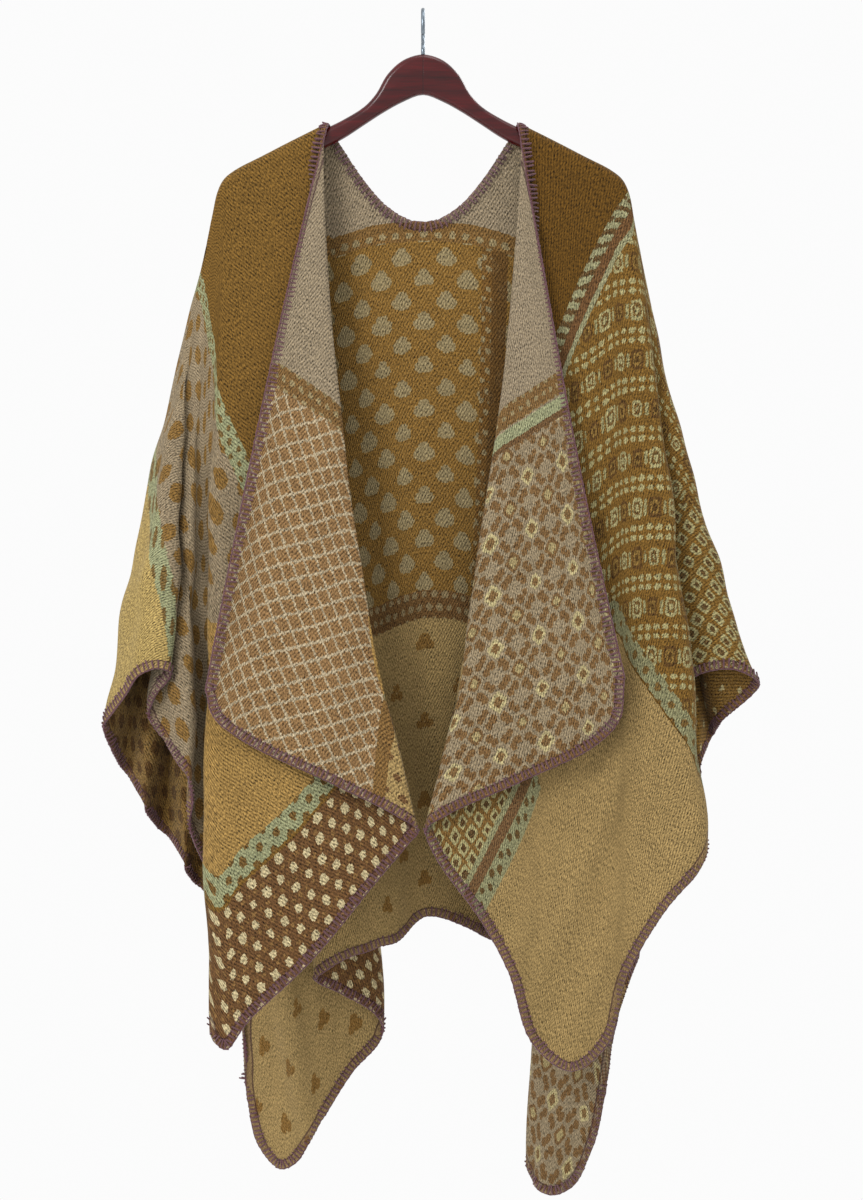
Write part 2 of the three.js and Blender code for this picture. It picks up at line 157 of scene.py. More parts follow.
def lacquered_cherry():
    material, w = new_material("lacquered_cherry")
    place = w.put("ShaderNodeTexCoord").outputs["Object"]
    along = w.put("ShaderNodeMapping", {"Vector": place, "Scale": (14, 60, 150)}).outputs[0]
    grain = w.put("ShaderNodeTexNoise", {"Vector": along, "Scale": 1, "Detail": 5, "Distortion": 0.6})
    fine = w.put("ShaderNodeMapping", {"Vector": place, "Scale": (40, 400, 900)}).outputs[0]
    pores = w.put("ShaderNodeTexNoise", {"Vector": fine, "Scale": 1, "Detail": 3})
    share = w.maths("MULTIPLY_ADD", grain.outputs[0], 1.6, -0.35, clamp=True)
    wood = w.mix(share, linear("260203"), linear("540407"))
    dark = w.maths("MULTIPLY_ADD", pores.outputs[0], -2.2, 1.25, clamp=True)
    wood = w.mix(w.maths("MULTIPLY", dark, 0.5), wood, linear("1a0202"))
    across = w.put("ShaderNodeSeparateXYZ", {"Vector": place}).outputs[0]
    joint = w.maths("LESS_THAN", w.maths("ABSOLUTE", across), 0.0006)
    wood = w.mix(w.maths("MULTIPLY", joint, 0.45), wood, linear("150101"))
    height = w.maths("MULTIPLY_ADD", joint, -1, w.maths("MULTIPLY", pores.outputs[0], 0.3))
    bump = w.put("ShaderNodeBump", {"Height": height, "Strength": 0.25, "Distance": 0.0006})
    rough = w.maths("MULTIPLY_ADD", grain.outputs[0], 0.12, 0.24)
    shader = w.put(
        "ShaderNodeBsdfPrincipled",
        {
            "Base Color": wood, "Roughness": rough, "Normal": bump.outputs[0],
            "Coat Weight": 0.25, "Coat Roughness": 0.12, "Specular IOR Level": 0.25, "IOR": 1.5,
        },
    )
    w.put("ShaderNodeOutputMaterial", {"Surface": shader.outputs[0]})
    return material


def hanger_board():
    """The board as rings round its outline: each ring is the outline drawn in, towards one face."""
    left = [(-x, z) for x, z in reversed(BOARD_HALF)]
    outline = smooth_line(BOARD_HALF + [BOARD_UNDER] + left, 4, closed=True) * MM
    ahead = np.roll(outline, -1, 0) - np.roll(outline, 1, 0)
    inward = np.stack([ahead[:, 1], -ahead[:, 0]], 1)
    inward /= np.linalg.norm(inward, axis=1)[:, None]
    middle = outline.mean(0)
    if ((middle - outline) * inward).sum() < 0:
        inward = -inward
    rings = []
    flat = BOARD_THICK / 2 - BOARD_ROUND
    for angle in np.linspace(-90, 90, ROUND_STEPS + 1):
        a = math.radians(angle)
        drawn = BOARD_ROUND * (1 - math.cos(a)) * ROUND_DRAWN
        depth = BOARD_ROUND * math.sin(a) + math.copysign(flat, a)
        ring = outline + inward * drawn
        rings.append(np.stack([ring[:, 0], np.full(len(ring), depth), ring[:, 1]], 1))
    count = len(outline)
    points = np.concatenate(rings)
    faces = []
    for r in range(len(rings) - 1):
        for i in range(count):
            j = (i + 1) % count
            faces.append((r * count + i, r * count + j, (r + 1) * count + j, (r + 1) * count + i))
    faces.append(tuple(range(count)))
    faces.append(tuple(range((len(rings) - 1) * count, len(rings) * count))[::-1])
    return points, faces


def outward(piece):
    """Turns a closed mesh's faces outwards."""
    shape = bmesh.new()
    shape.from_mesh(piece.data)
    bmesh.ops.recalc_face_normals(shape, faces=shape.faces)
    shape.to_mesh(piece.data)
    shape.free()
    return piece


board_points, board_faces = hanger_board()
hanger = outward(mesh_piece("hanger_board", board_points, board_faces, [lacquered_cherry()]))
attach(hanger, "root")
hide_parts("hanger_wood")

# Hook
# Steel wire, 4 mm thick, bent to a hook with its end in front and plated. Its straight shank is
# screwed down into the board's neck.
WIRE_RADIUS = 2 * MM
HOOK_RADIUS = 17 * MM
HOOK_FOOT = -42.7 * MM
WIRE_SIDES = 18
HOOK_TURN = range(-45, 216, 20)


def plated_wire():
    material, w = new_material("plated_wire")
    place = w.put("ShaderNodeTexCoord").outputs["Object"]
    drawn = w.put("ShaderNodeMapping", {"Vector": place, "Scale": (2200, 2200, 90)}).outputs[0]
    lines = w.put("ShaderNodeTexNoise", {"Vector": drawn, "Scale": 1, "Detail": 3})
    patch = w.put("ShaderNodeTexNoise", {"Vector": place, "Scale": 160, "Detail": 3})
    colour = w.mix(patch.outputs[0], linear("515c66"), linear("8d979f"))
    rough = w.maths("MULTIPLY_ADD", lines.outputs[0], 0.2, 0.2)
    bump = w.put("ShaderNodeBump", {"Height": lines.outputs[0], "Strength": 0.12, "Distance": 0.0003})
    shader = w.put(
        "ShaderNodeBsdfPrincipled",
        {"Base Color": colour, "Metallic": 1.0, "Roughness": rough, "Normal": bump.outputs[0]},
    )
    w.put("ShaderNodeOutputMaterial", {"Surface": shader.outputs[0]})
    return material


def tube(route, radii, sides):
    """A closed tube along a route, with the radius at each of its points."""
    route = np.asarray(route, float)
    ahead = np.gradient(route, axis=0)
    ahead /= np.linalg.norm(ahead, axis=1)[:, None]
    across = np.cross(ahead, (1.0, 0.0, 0.0))
    across /= np.linalg.norm(across, axis=1)[:, None]
    side = np.cross(ahead, across)
    turn = np.linspace(0, 2 * np.pi, sides, endpoint=False)
    rings = [
        p + r * (np.cos(turn)[:, None] * a + np.sin(turn)[:, None] * b)
        for p, r, a, b in zip(route, radii, across, side)
    ]
    faces = []
    for r in range(len(rings) - 1):
        for i in range(sides):
            j = (i + 1) % sides
            faces.append((r * sides + i, r * sides + j, (r + 1) * sides + j, (r + 1) * sides + i))
    faces.append(tuple(range(sides)))
    faces.append(tuple(range((len(rings) - 1) * sides, len(rings) * sides))[::-1])
    return np.concatenate(rings), faces


centre = WIRE_RADIUS - HOOK_RADIUS
hook_corners = [(0, 0, HOOK_FOOT), (0, 0, HOOK_FOOT + 5 * MM), (0, 4 * MM, HOOK_FOOT + 10 * MM)]
for angle in HOOK_TURN:
    turned = math.radians(angle)
    hook_corners.append((0, HOOK_RADIUS * math.cos(turned), centre + HOOK_RADIUS * math.sin(turned)))
hook_route = smooth_line(hook_corners, 6)
hook_route[:, 0] = 0
hook_radii = np.full(len(hook_route), WIRE_RADIUS)
hook_radii[-3:] *= (0.97, 0.85, 0.55)
tube_points, tube_faces = tube(hook_route, hook_radii, WIRE_SIDES)
hook = outward(mesh_piece("hook_wire", tube_points, tube_faces, [plated_wire()]))
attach(hook, "root")
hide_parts("hanger_hook")

# Wrap
# One rectangle of double-faced jacquard knit, slit from the front hem to the middle, hung over the
# board so that its slit edges turn outwards as lapels and its sides fall in folds. Brushed wool blend.
CLOTH_WALL = 2.5 * MM
CLOTH_ROLL = 9 * MM
LAPEL_CLEAR = 22 * MM
RIDGE_ALONG = 125
CREST_ACROSS = 192
NECK_HALF = 95
NECK_STRETCH = 1.25
FOLD_START = 0.15
CLOTH_STEP = 6.5 * MM
ROLL_DROPS = np.array([0, 0.35, 1.1, 2.3, 4.2, 6.6, 9.5, 13.5, 19]) * MM
FALL_FROM = 25 * MM
FALL_ROWS = 84
SHOULDER_LINE = [
    (95, 0, -112), (133, 0, -131), (160, 0, -145), (187, 0, -159), (198, 0, -168),
    (204, 0, -180), (208, 0, -200), (214, 0, -231), (223, 0, -268),
]
NECK_EDGE = [
    (95, 0, -112), (93.5, 6.5, -114.5), (91, 9.6, -121), (84, 9.8, -132),
    (60, 9.5, -168), (37, 9.5, -194), (14, 9.5, -208), (0, 9.5, -210),
]
# Each line of cloth runs down from the shoulder line to the edge, in millimetres: its place along the
# shoulder line from the slit, its lower end (outwards, back, up), how far it bows outwards and stands
# forward, whether it is part of the hanging body, and its lower end on the flat cloth (across, along).
FRONT_LEFT = [
    ("slit_edge", 0, 213, -66, -676, 4, -5, 1, 0, 700),
    ("lapel_corner", 1.5, 205, -66, -702, 5, -5, 1, 20, 735),
    ("lapel_hem_outer", 3, 175, -67, -726, 8, -5, 1, 65, 750),
    ("lapel_hem_middle", 4.5, 90, -66, -767, 14, -5, 1, 155, 750),
    ("lapel_hem_inner", 6, 24, -64, -800, 19, -4.6, 1, 230, 750),
    ("lapel_fold", 8, 5, -60, -815, 21, -2.4, 1, 250, 750),
    ("panel_inner", 12, 14, -56, -826, 20, 0, 1, 262, 750),
    ("panel_a", 32, 49, -55, -868, 18, 0, 1, 330, 750),
    ("panel_b", 58, 111, -57, -943, 16, 0, 1, 425, 750),
    ("panel_c", 86, 172, -62, -1001, 14, 0, 1, 510, 750),
    ("panel_tip", 106, 194, -62, -1029, 12, 0, 1, 548, 750),
    ("panel_turn", 112, 211, -50, -1014, 11, 0, 0, 570, 750),
    ("behind", 116, 190, -34, -985, 10, 0, 0, 610, 748),
    ("outer_corner", 120, 163, -24, -966, 10, 0, 0, 640, 730),
    ("corner_turn", 123, 158, -13, -945, 10, 0, 0, 650, 690),
    ("side_a", 126, 184, -7, -905, 10, 0, 0, 650, 600),
    ("side_b", 130, 213, -13, -858, 9, 0, 0, 650, 490),
    ("side_c", 133, 230, -24, -814, 9, 0, 0, 650, 430),
    ("side_d", 136, 227, -35, -785, 9, 0, 0, 650, 395),
    ("side_e", 139, 232, -41, -765, 9, 0, 0, 650, 375),
    ("side_f", 142, 246, -32, -745, 8, 0, 0, 650, 355),
    ("fold_tip", 146, 258, -17, -727, 8, 0, 0, 650, 330),
    ("valley", 150, 272, -14, -706, 8, 0, 0, 650, 300),
    ("return", 154, 264, -26, -682, 8, 0, 0, 650, 270),
    ("sleeve_tip", 158, 248, -36, -662, 8, 0, 0, 650, 247),
    ("sleeve_a", 161, 250, -44, -658, 7, 0, 0, 650, 237),
    ("sleeve_b", 165, 264, -47, -655, 7, 0, 0, 650, 220),
    ("sleeve_c", 170, 283, -41, -663, 7, 0, 0, 650, 198),
    ("sleeve_d", 176, 297, -28, -683, 6, 0, 0, 650, 172),
    ("sleeve_e", 183, 312, -12, -702, 6, 0, 0, 650, 148),
]
CREST_LEFT = [
    ("crest_left", 192, 320, 0, -714, 6, 0, 1, 650, 125),
]
BACK_LEFT = [
    ("side_a", 183, 313, 15, -736, 6, 0, 0, 650, 100),
    ("pleat_a", 178, 300, 42, -764, 6, 0, 0, 650, 62),
    ("side_b", 172, 280, 24, -796, 5, 0, 0, 650, 20),
    ("pleat_b", 166, 262, 56, -826, 4, 0, 0, 650, -22),
    ("side_c", 160, 240, 27, -856, 4, 0, 0, 650, -64),
    ("pleat_c", 155, 226, 52, -880, 3, 0, 0, 650, -100),
    ("side_d", 150, 206, 27, -902, 3, 0, 0, 650, -142),
    ("side_e", 146, 178, 33, -925, 2, 0, 0, 650, -200),
    ("side_f", 142, 148, 42, -945, 1, 0, 0, 650, -260),
    ("side_g", 138, 138, 53, -955, 0, 0, 0, 650, -310),
    ("side_h", 133, 147, 65, -968, 0, 0, 0, 650, -360),
    ("side_i", 128, 172, 76, -988, 0, 0, 0, 650, -430),
    ("side_j", 124, 186, 88, -1022, 0, 0, 0, 650, -510),
    ("side_k", 120, 184, 98, -1062, 0, 0, 0, 650, -580),
    ("side_l", 117, 179, 102, -1108, 0, 0, 0, 650, -640),
    ("side_m", 114, 168, 103, -1150, 0, 0, 0, 650, -700),
    ("tail_corner", 110, 147, 100, -1172, 0, 0, 1, 620, -742),
    ("tail_a", 106, 129, 88, -1162, 0, 0, 0, 570, -750),
    ("tail_b", 98, 105, 87, -1122, 0, 0, 0, 490, -750),
    ("tail_c", 88, 72, 85, -1070, 0, 0, 0, 410, -750),
    ("tail_fold_right", 78, 42, 76, -1033, 0, 0, 0, 345, -750),
    ("tail_d", 70, 50, 62, -1008, 0, 0, 0, 310, -750),
    ("tail_e", 60, 86, 50, -985, 0, 0, 0, 265, -750),
    ("tail_fold_left", 50, 107, 37, -972, 0, 0, 0, 230, -750),
    ("hem_a", 38, 93, 23, -957, 0, 0, 0, 200, -750),
    ("hem_b", 14, 68, 24, -945, 0, 0, 0, 165, -750),
    ("hem_c", 1, 58, 25, -942, 0, 0, 0, 145, -750),
    ("hem_d", -8, 51, 26, -939, 0, 0, 0, 130, -750),
    ("hem_e", -20, 43, 28, -936, 0, 0, 0, 115, -750),
    ("hem_f", -60, 27, 33, -932, 0, 0, 0, 75, -750),
    ("hem_g", -104, 12, 38, -920, 0, 0, 0, 35, -750),
]
BACK_CENTRE = [
    ("centre", -145, 0, 42, -908, 0, 0, 1, 0, -750),
]
BACK_RIGHT = [
    ("hem_a", -104, 14, 46, -908, 0, 0, 0, 22, -750),
    ("hem_b", -60, 32, 51, -914, 0, 0, 0, 55, -750),
    ("hem_c", -20, 56, 66, -926, 0, 0, 0, 92, -750),
    ("hem_d", -8, 65, 74, -932, 0, 0, 0, 110, -750),
    ("hem_e", 1, 76, 76, -937, 0, 0, 0, 127, -750),
    ("hem_f", 15, 92, 64, -947, 0, 0, 0, 152, -750),
    ("hem_g", 26, 108, 68, -955, 0, 0, 0, 176, -750),
    ("hem_h", 36, 124, 98, -966, 0, 0, 0, 210, -750),
    ("hem_i", 46, 146, 84, -984, 0, 0, 0, 245, -750),
    ("hem_j", 53, 162, 92, -998, 0, 0, 0, 265, -750),
    ("fold_right", 60, 178, 78, -1015, 0, 0, 0, 290, -750),
    ("under_a", 72, 160, 60, -1055, 0, 0, 0, 345, -750),
    ("under_b", 84, 128, 48, -1115, 0, 0, 0, 410, -750),
    ("tail_fold", 93, 106, 33, -1160, 0, 0, 0, 470, -750),
    ("tail_a", 99, 113, 19, -1177, 0, 0, 0, 520, -750),
    ("tail_b", 105, 129, 11, -1184, 0, 0, 0, 570, -750),
    ("tail_corner", 111, 151, 8, -1174, 0, 0, 1, 625, -742),
    ("tail_c", 116, 173, 8, -1128, 0, 0, 0, 650, -680),
    ("tail_d", 120, 182, 9, -1083, 0, 0, 0, 650, -610),
    ("tail_e", 125, 188, 12, -1037, 0, 0, 0, 650, -520),
    ("side_a", 131, 203, 18, -978, 0, 0, 0, 650, -420),
    ("pleat_a", 135, 218, 46, -944, 0, 0, 0, 650, -355),
    ("side_b", 139, 234, 28, -906, -1, 0, 0, 650, -295),
    ("pleat_b", 143, 248, 64, -868, -2, 0, 0, 650, -225),
    ("side_c", 147, 260, 34, -832, -3, 0, 0, 650, -165),
    ("pleat_c", 152, 275, 64, -794, -4, 0, 0, 650, -100),
    ("side_d", 158, 279, 28, -758, -5, 0, 0, 650, -45),
    ("pleat_d", 164, 292, 50, -728, -6, 0, 0, 650, 10),
    ("side_e", 172, 300, 20, -709, -7, 0, 0, 650, 55),
    ("side_f", 183, 326, 13, -686, -8, 0, 0, 650, 98),
]
CREST_RIGHT = [
    ("crest_right", 192, 335, 0, -673, -9, 0, 1, 650, 125),
]
FRONT_RIGHT = [
    ("slit_edge", 0, 198, -66, -664, -5, -5, 1, 0, 700),
    ("lapel_corner", 1.5, 193, -66, -704, -3, -5, 1, 20, 735),
    ("lapel_hem_outer", 3, 167, -67, -731, 0, -5, 1, 62, 750),
    ("lapel_hem_middle", 4.5, 97, -66, -765, 6, -5, 1, 150, 750),
    ("lapel_hem_inner", 6, 24, -64, -798, 12, -4.6, 1, 232, 750),
    ("lapel_fold", 8, 5, -60, -814, 14, -2.4, 1, 255, 750),
    ("panel_inner", 12, 13, -56, -840, 13, 0, 1, 280, 750),
    ("panel_a", 32, 59, -54, -905, 12, 0, 1, 370, 750),
    ("panel_b", 52, 85, -56, -954, 11, 0, 1, 430, 750),
    ("panel_c", 72, 108, -60, -1023, 10, 0, 1, 520, 750),
    ("panel_tip", 88, 146, -62, -1050, 9, 0, 1, 600, 748),
    ("panel_corner", 98, 181, -61, -1024, 9, 0, 1, 645, 715),
    ("side_a", 104, 200, -58, -958, 9, 0, 1, 650, 640),
    ("side_b", 110, 238, -57, -893, 9, 0, 1, 650, 560),
    ("side_fold", 117, 274, -53, -850, 9, 0, 1, 650, 500),
    ("side_turn", 123, 280, -41, -826, 7, 0, 0, 650, 465),
    ("behind", 130, 260, -30, -782, 4, 0, 0, 650, 400),
    ("valley", 138, 236, -20, -735, 0, 0, 0, 650, 330),
    ("sleeve_in", 146, 238, -8, -694, -3, 0, 0, 650, 265),
    ("sleeve_a", 156, 270, -8, -664, -5, 0, 0, 650, 215),
    ("sleeve_b", 170, 306, -15, -656, -7, 0, 0, 650, 170),
    ("sleeve_c", 183, 328, -10, -665, -9, 0, 0, 650, 140),
]


def measured(corners):
    """A smooth line through corners in millimetres, with the distance along it, in metres."""
    line = smooth_line(corners, 60) * MM
    return line, np.concatenate([[0], np.cumsum(np.linalg.norm(np.diff(line, axis=0), axis=1))])


shoulder, shoulder_run = measured(SHOULDER_LINE)
neck, neck_run = measured(NECK_EDGE)
NECK_LONG = neck_run[-1]
WAY, END_X, END_Y, END_Z, BOW, LIFT, FACING, FOLD_X, FOLD_Y, TOP_P, TOP_Q, HEM_P, HEM_Q = range(13)


def cloth_lines():
    """Every line of cloth round the garment, as names and rows of numbers that blend into the next."""
    names, rows, hanging = [], [], []

    def place(prefix, table, side, facing):
        for name, top, out, back, up, bow, lift, body, across, along in table:
            way = side * max(0, top * MM + NECK_LONG)
            past = abs(way) - NECK_LONG
            top_p, top_q = top, RIDGE_ALONG
            if facing >= 0 and past < 0:
                below_ridge = SHOULDER_LINE[0][2] - np.interp(-past, neck_run, neck[:, 2]) / MM
                top_p = np.interp(-past, neck_run, neck[:, 0]) / MM
                top_q = RIDGE_ALONG - NECK_STRETCH * below_ridge
            elif facing >= 0:
                top_p = NECK_HALF + (CREST_ACROSS - NECK_HALF) * top / CREST_ACROSS
            flat = [side * top_p, top_q, side * across, along]
            end = [side * out, back, up, side * bow, lift]
            rows.append([way / MM, *end, facing / MM, 0, 0, *flat])
            names.append(prefix + name)
            hanging.append(bool(body))

    place("front_left_", FRONT_LEFT, -1, -1)
    place("", CREST_LEFT, -1, 0)
    place("back_left_", BACK_LEFT, -1, 1)
    place("", BACK_CENTRE, 1, 1)
    place("back_right_", BACK_RIGHT, 1, 1)
    place("", CREST_RIGHT, 1, 0)
    place("front_right_", FRONT_RIGHT[::-1], 1, -1)
    rows = np.array(rows, float) * MM
    bodies = [i for i, body in enumerate(hanging) if body]
    for i in range(len(rows)):
        before = max(b for b in bodies if b <= i)
        after = min(b for b in bodies if b >= i)
        reach = rows[after, WAY] - rows[before, WAY]
        share = 0 if after == before else (rows[i, WAY] - rows[before, WAY]) / reach
        for end, fold in ((END_X, FOLD_X), (END_Y, FOLD_Y)):
            body = rows[before, end] + (rows[after, end] - rows[before, end]) * share
            rows[i, fold] = rows[i, end] - body
    return names, rows


def between_lines(rows):
    """Lines between the given ones, about CLOTH_STEP apart at the hem, on a smooth curve through them."""
    apart = np.linalg.norm(np.diff(rows[:, END_X : END_Z + 1], axis=0), axis=1)
    gaps = np.sqrt(apart)
    last = len(rows) - 1
    slopes = []
    for i in range(len(rows)):
        near, far = max(0, i - 1), min(last - 1, i)
        before = (rows[near + 1] - rows[near]) / gaps[near]
        after = (rows[far + 1] - rows[far]) / gaps[far]
        slopes.append((before * gaps[far] + after * gaps[near]) / (gaps[near] + gaps[far]))
    dense, starts = [], []
    for i in range(last):
        steps = max(2, math.ceil(apart[i] / CLOTH_STEP))
        starts.append(len(dense))
        rise, fall = slopes[i] * gaps[i], slopes[i + 1] * gaps[i]
        cube = 2 * (rows[i] - rows[i + 1]) + rise + fall
        square = 3 * (rows[i + 1] - rows[i]) - 2 * rise - fall
        for t in np.arange(steps) / steps:
            dense.append(((cube * t + square) * t + rise) * t + rows[i])
    starts.append(len(dense))
    dense.append(rows[last])
    dense = np.array(dense)
    dense[:, FACING] = np.clip(dense[:, FACING], -1, 1)
    return dense, starts


def eased(t):
    """Grows slowly from 0, faster in between, and slowly again up to 1."""
    t = np.clip(t, 0, 1)
    return t * t * (3 - 2 * t)


def hung(line):
    """Points down one line of cloth, rolled over the board and then falling, with their flat places."""
    way = line[WAY]
    past = abs(way) - NECK_LONG
    route, run, distance = (neck, neck_run, -past) if past < 0 else (shoulder, shoulder_run, past)
    start = np.array([np.interp(distance, run, route[:, axis]) for axis in range(3)])
    start[0] *= math.copysign(1, way)
    end = line[END_X : END_Z + 1]
    length = np.linalg.norm(end - start)
    t = np.concatenate([ROLL_DROPS / length, np.linspace(FALL_FROM / length, 1, FALL_ROWS)])
    drop = t * length
    turn = np.sqrt(1 - (1 - np.clip(drop / CLOTH_ROLL, 0, 1)) ** 2)
    hang = line[FACING] * CLOTH_ROLL
    grown = eased((t - FOLD_START) / (1 - FOLD_START))
    lifted = line[LIFT] * eased(drop / LAPEL_CLEAR) * (1 - t)
    x = start[0] + (end[0] - line[FOLD_X] - start[0]) * t + line[FOLD_X] * grown
    x += line[BOW] * 4 * t * (1 - t)
    y = start[1] + (hang - start[1]) * turn + (end[1] - line[FOLD_Y] - hang) * t
    y += line[FOLD_Y] * grown + lifted
    z = start[2] + (end[2] - start[2]) * t
    points = np.stack([x, y, z], 1)
    travelled = np.concatenate([[0], np.cumsum(np.linalg.norm(np.diff(points, axis=0), axis=1))])
    share = travelled / travelled[-1]
    flat_p = line[TOP_P] + (line[HEM_P] - line[TOP_P]) * share
    flat_q = line[TOP_Q] + (line[HEM_Q] - line[TOP_Q]) * share
    return points, np.stack([flat_p, flat_q], 1)


def grid_normals(points, facing):
    """Unit normals over a grid of points, out of the garment."""
    across = np.empty_like(points)
    across[1:-1] = points[2:] - points[:-2]
    across[0], across[-1] = points[1] - points[0], points[-1] - points[-2]
    down = np.empty_like(points)
    down[:, 1:-1] = points[:, 2:] - points[:, :-2]
    down[:, 0], down[:, -1] = points[:, 1] - points[:, 0], points[:, -1] - points[:, -2]
    on_ridge = np.abs(points[:, 0, 1]) < 1 * MM
    rolled = np.stack([np.zeros(len(facing)), facing, np.zeros(len(facing))], 1)
    down[on_ridge, 0] = np.where(facing[on_ridge, None] != 0, rolled[on_ridge], down[on_ridge, 1])
    normals = np.cross(across, down)
    return normals / np.maximum(np.linalg.norm(normals, axis=2, keepdims=True), 1e-12)


line_names, line_rows = cloth_lines()
dense_lines, line_starts = between_lines(line_rows)
hung_lines = [hung(line) for line in dense_lines]
cloth_points = np.array([points for points, _ in hung_lines])
cloth_flat = np.array([flat for _, flat in hung_lines])
cloth_normals = grid_normals(cloth_points, dense_lines[:, FACING])


# Slack waves: height in millimetres, turns across and along the flat cloth, and where they start.
SLACK_WAVES = [(2.1, 47, 5.5, 1.1), (1.1, 83, -9, 4.0), (1.0, 21, 19, 2.3)]
RIPPLE_HEIGHT = 0.35
CREASES_BELOW = -160 * MM
CREASES_GROW = 500 * MM


def soft_creases(flat, points):
    """How far the cloth swells out of its even fall: long slack waves that grow on the way down."""
    p, q = flat[..., 0], flat[..., 1]
    fall = np.clip((CREASES_BELOW - points[..., 2]) / CREASES_GROW, 0, 1)
    waves = sum(height * np.sin(a * p + b * q + start) for height, a, b, start in SLACK_WAVES)
    waves += RIPPLE_HEIGHT * np.sin(131 * p + 37 * q + 0.7) * np.sin(17 * q + 2.0)
    return waves * MM * fall


cloth_points = cloth_points + cloth_normals * soft_creases(cloth_flat, cloth_points)[..., None]
cloth_normals = grid_normals(cloth_points, dense_lines[:, FACING])

# Jacquard of the wrap's face and reverse
# Double-faced knit in wool yarns of ochre, tan, grey, brown, cream and mint, brushed to a soft nap.
# The motifs follow the flat cloth: across it from the slit, and along it from the shoulder line.
COURSE = 1.6 * MM
WANDER = 3.5 * MM
EDGE_BAND = 7.6 * MM
EDGE_RAIL = 0.8 * MM


def stepped_places():
    """Where a point lies on the flat cloth, in whole stitches, with edges that wander a little."""
    tree, w, _, made = shader_group(
        "stepped_places", [],
        [("Across", "float"), ("Along", "float"), ("Side", "float"), ("Cover", "float")],
    )
    flat = w.put("ShaderNodeUVMap", uv_map="flat_cloth").outputs[0]
    parts = w.put("ShaderNodeSeparateXYZ", {"Vector": flat})
    wander = w.put("ShaderNodeTexNoise", {"Vector": flat, "Scale": 240, "Detail": 2})
    pair = w.put("ShaderNodeSeparateColor", {"Color": wander.outputs["Color"]})
    for label, axis in (("Across", 0), ("Along", 1)):
        shift = w.maths("SUBTRACT", pair.outputs[axis], 0.5)
        moved = w.maths("MULTIPLY_ADD", shift, WANDER, parts.outputs[axis])
        snapped = w.maths("SNAP", moved, COURSE)
        if label == "Across":
            w.tree.links.new(w.maths("SIGN", parts.outputs[0]), made.inputs["Side"])
            snapped = w.maths("ABSOLUTE", snapped)
        w.tree.links.new(snapped, made.inputs[label])
    mixed = w.put("ShaderNodeTexNoise", {"Vector": flat, "Scale": 820, "Detail": 2, "Roughness": 0.7})
    cover = w.maths("MULTIPLY_ADD", mixed.outputs[0], -4.6, 3.26, clamp=True)
    w.tree.links.new(w.maths("MULTIPLY_ADD", cover, 0.56, 0.44), made.inputs["Cover"])
    return tree


def motif_rows():
    """A motif that repeats in rows, each row moved by half a pitch where it is staggered."""
    tree, w, given, made = shader_group(
        "motif_rows",
        [
            ("Across", "float"), ("Along", "float"), ("Pitch", "float"), ("Rise", "float"),
            ("Stagger", "float"), ("Width", "float"), ("Height", "float"), ("Corner", "float"),
        ],
        [("Mask", "float"), ("Turn", "float")],
    )
    pitch, rise = given.outputs["Pitch"], given.outputs["Rise"]
    row = w.maths("DIVIDE", given.outputs["Along"], rise)
    odd = w.maths("FLOORED_MODULO", w.maths("FLOOR", row), 2)
    shift = w.maths("MULTIPLY", w.maths("MULTIPLY", odd, 0.5), given.outputs["Stagger"])
    column = w.maths("ADD", w.maths("DIVIDE", given.outputs["Across"], pitch), shift)
    cell = w.put("ShaderNodeCombineXYZ", {"X": w.maths("FLOOR", column), "Y": w.maths("FLOOR", row)})
    chance = w.put("ShaderNodeTexWhiteNoise", {"Vector": cell.outputs[0]}).outputs[0]
    size = w.maths("MULTIPLY_ADD", chance, 0.3, 0.85)
    reach = []
    for place, step, extent in ((column, pitch, "Width"), (row, rise, "Height")):
        offset = w.maths("MULTIPLY", w.maths("SUBTRACT", w.maths("FRACT", place), 0.5), step)
        half = w.maths("MULTIPLY", given.outputs[extent], size)
        share = w.maths("ABSOLUTE", w.maths("DIVIDE", w.maths("MULTIPLY", offset, 2), half))
        reach.append(w.maths("POWER", share, given.outputs["Corner"]))
    w.tree.links.new(w.maths("LESS_THAN", w.maths("ADD", *reach), 1), made.inputs["Mask"])
    order = w.maths("ADD", w.maths("FLOOR", column), w.maths("FLOOR", row))
    w.tree.links.new(w.maths("FLOORED_MODULO", order, 2), made.inputs["Turn"])
    return tree


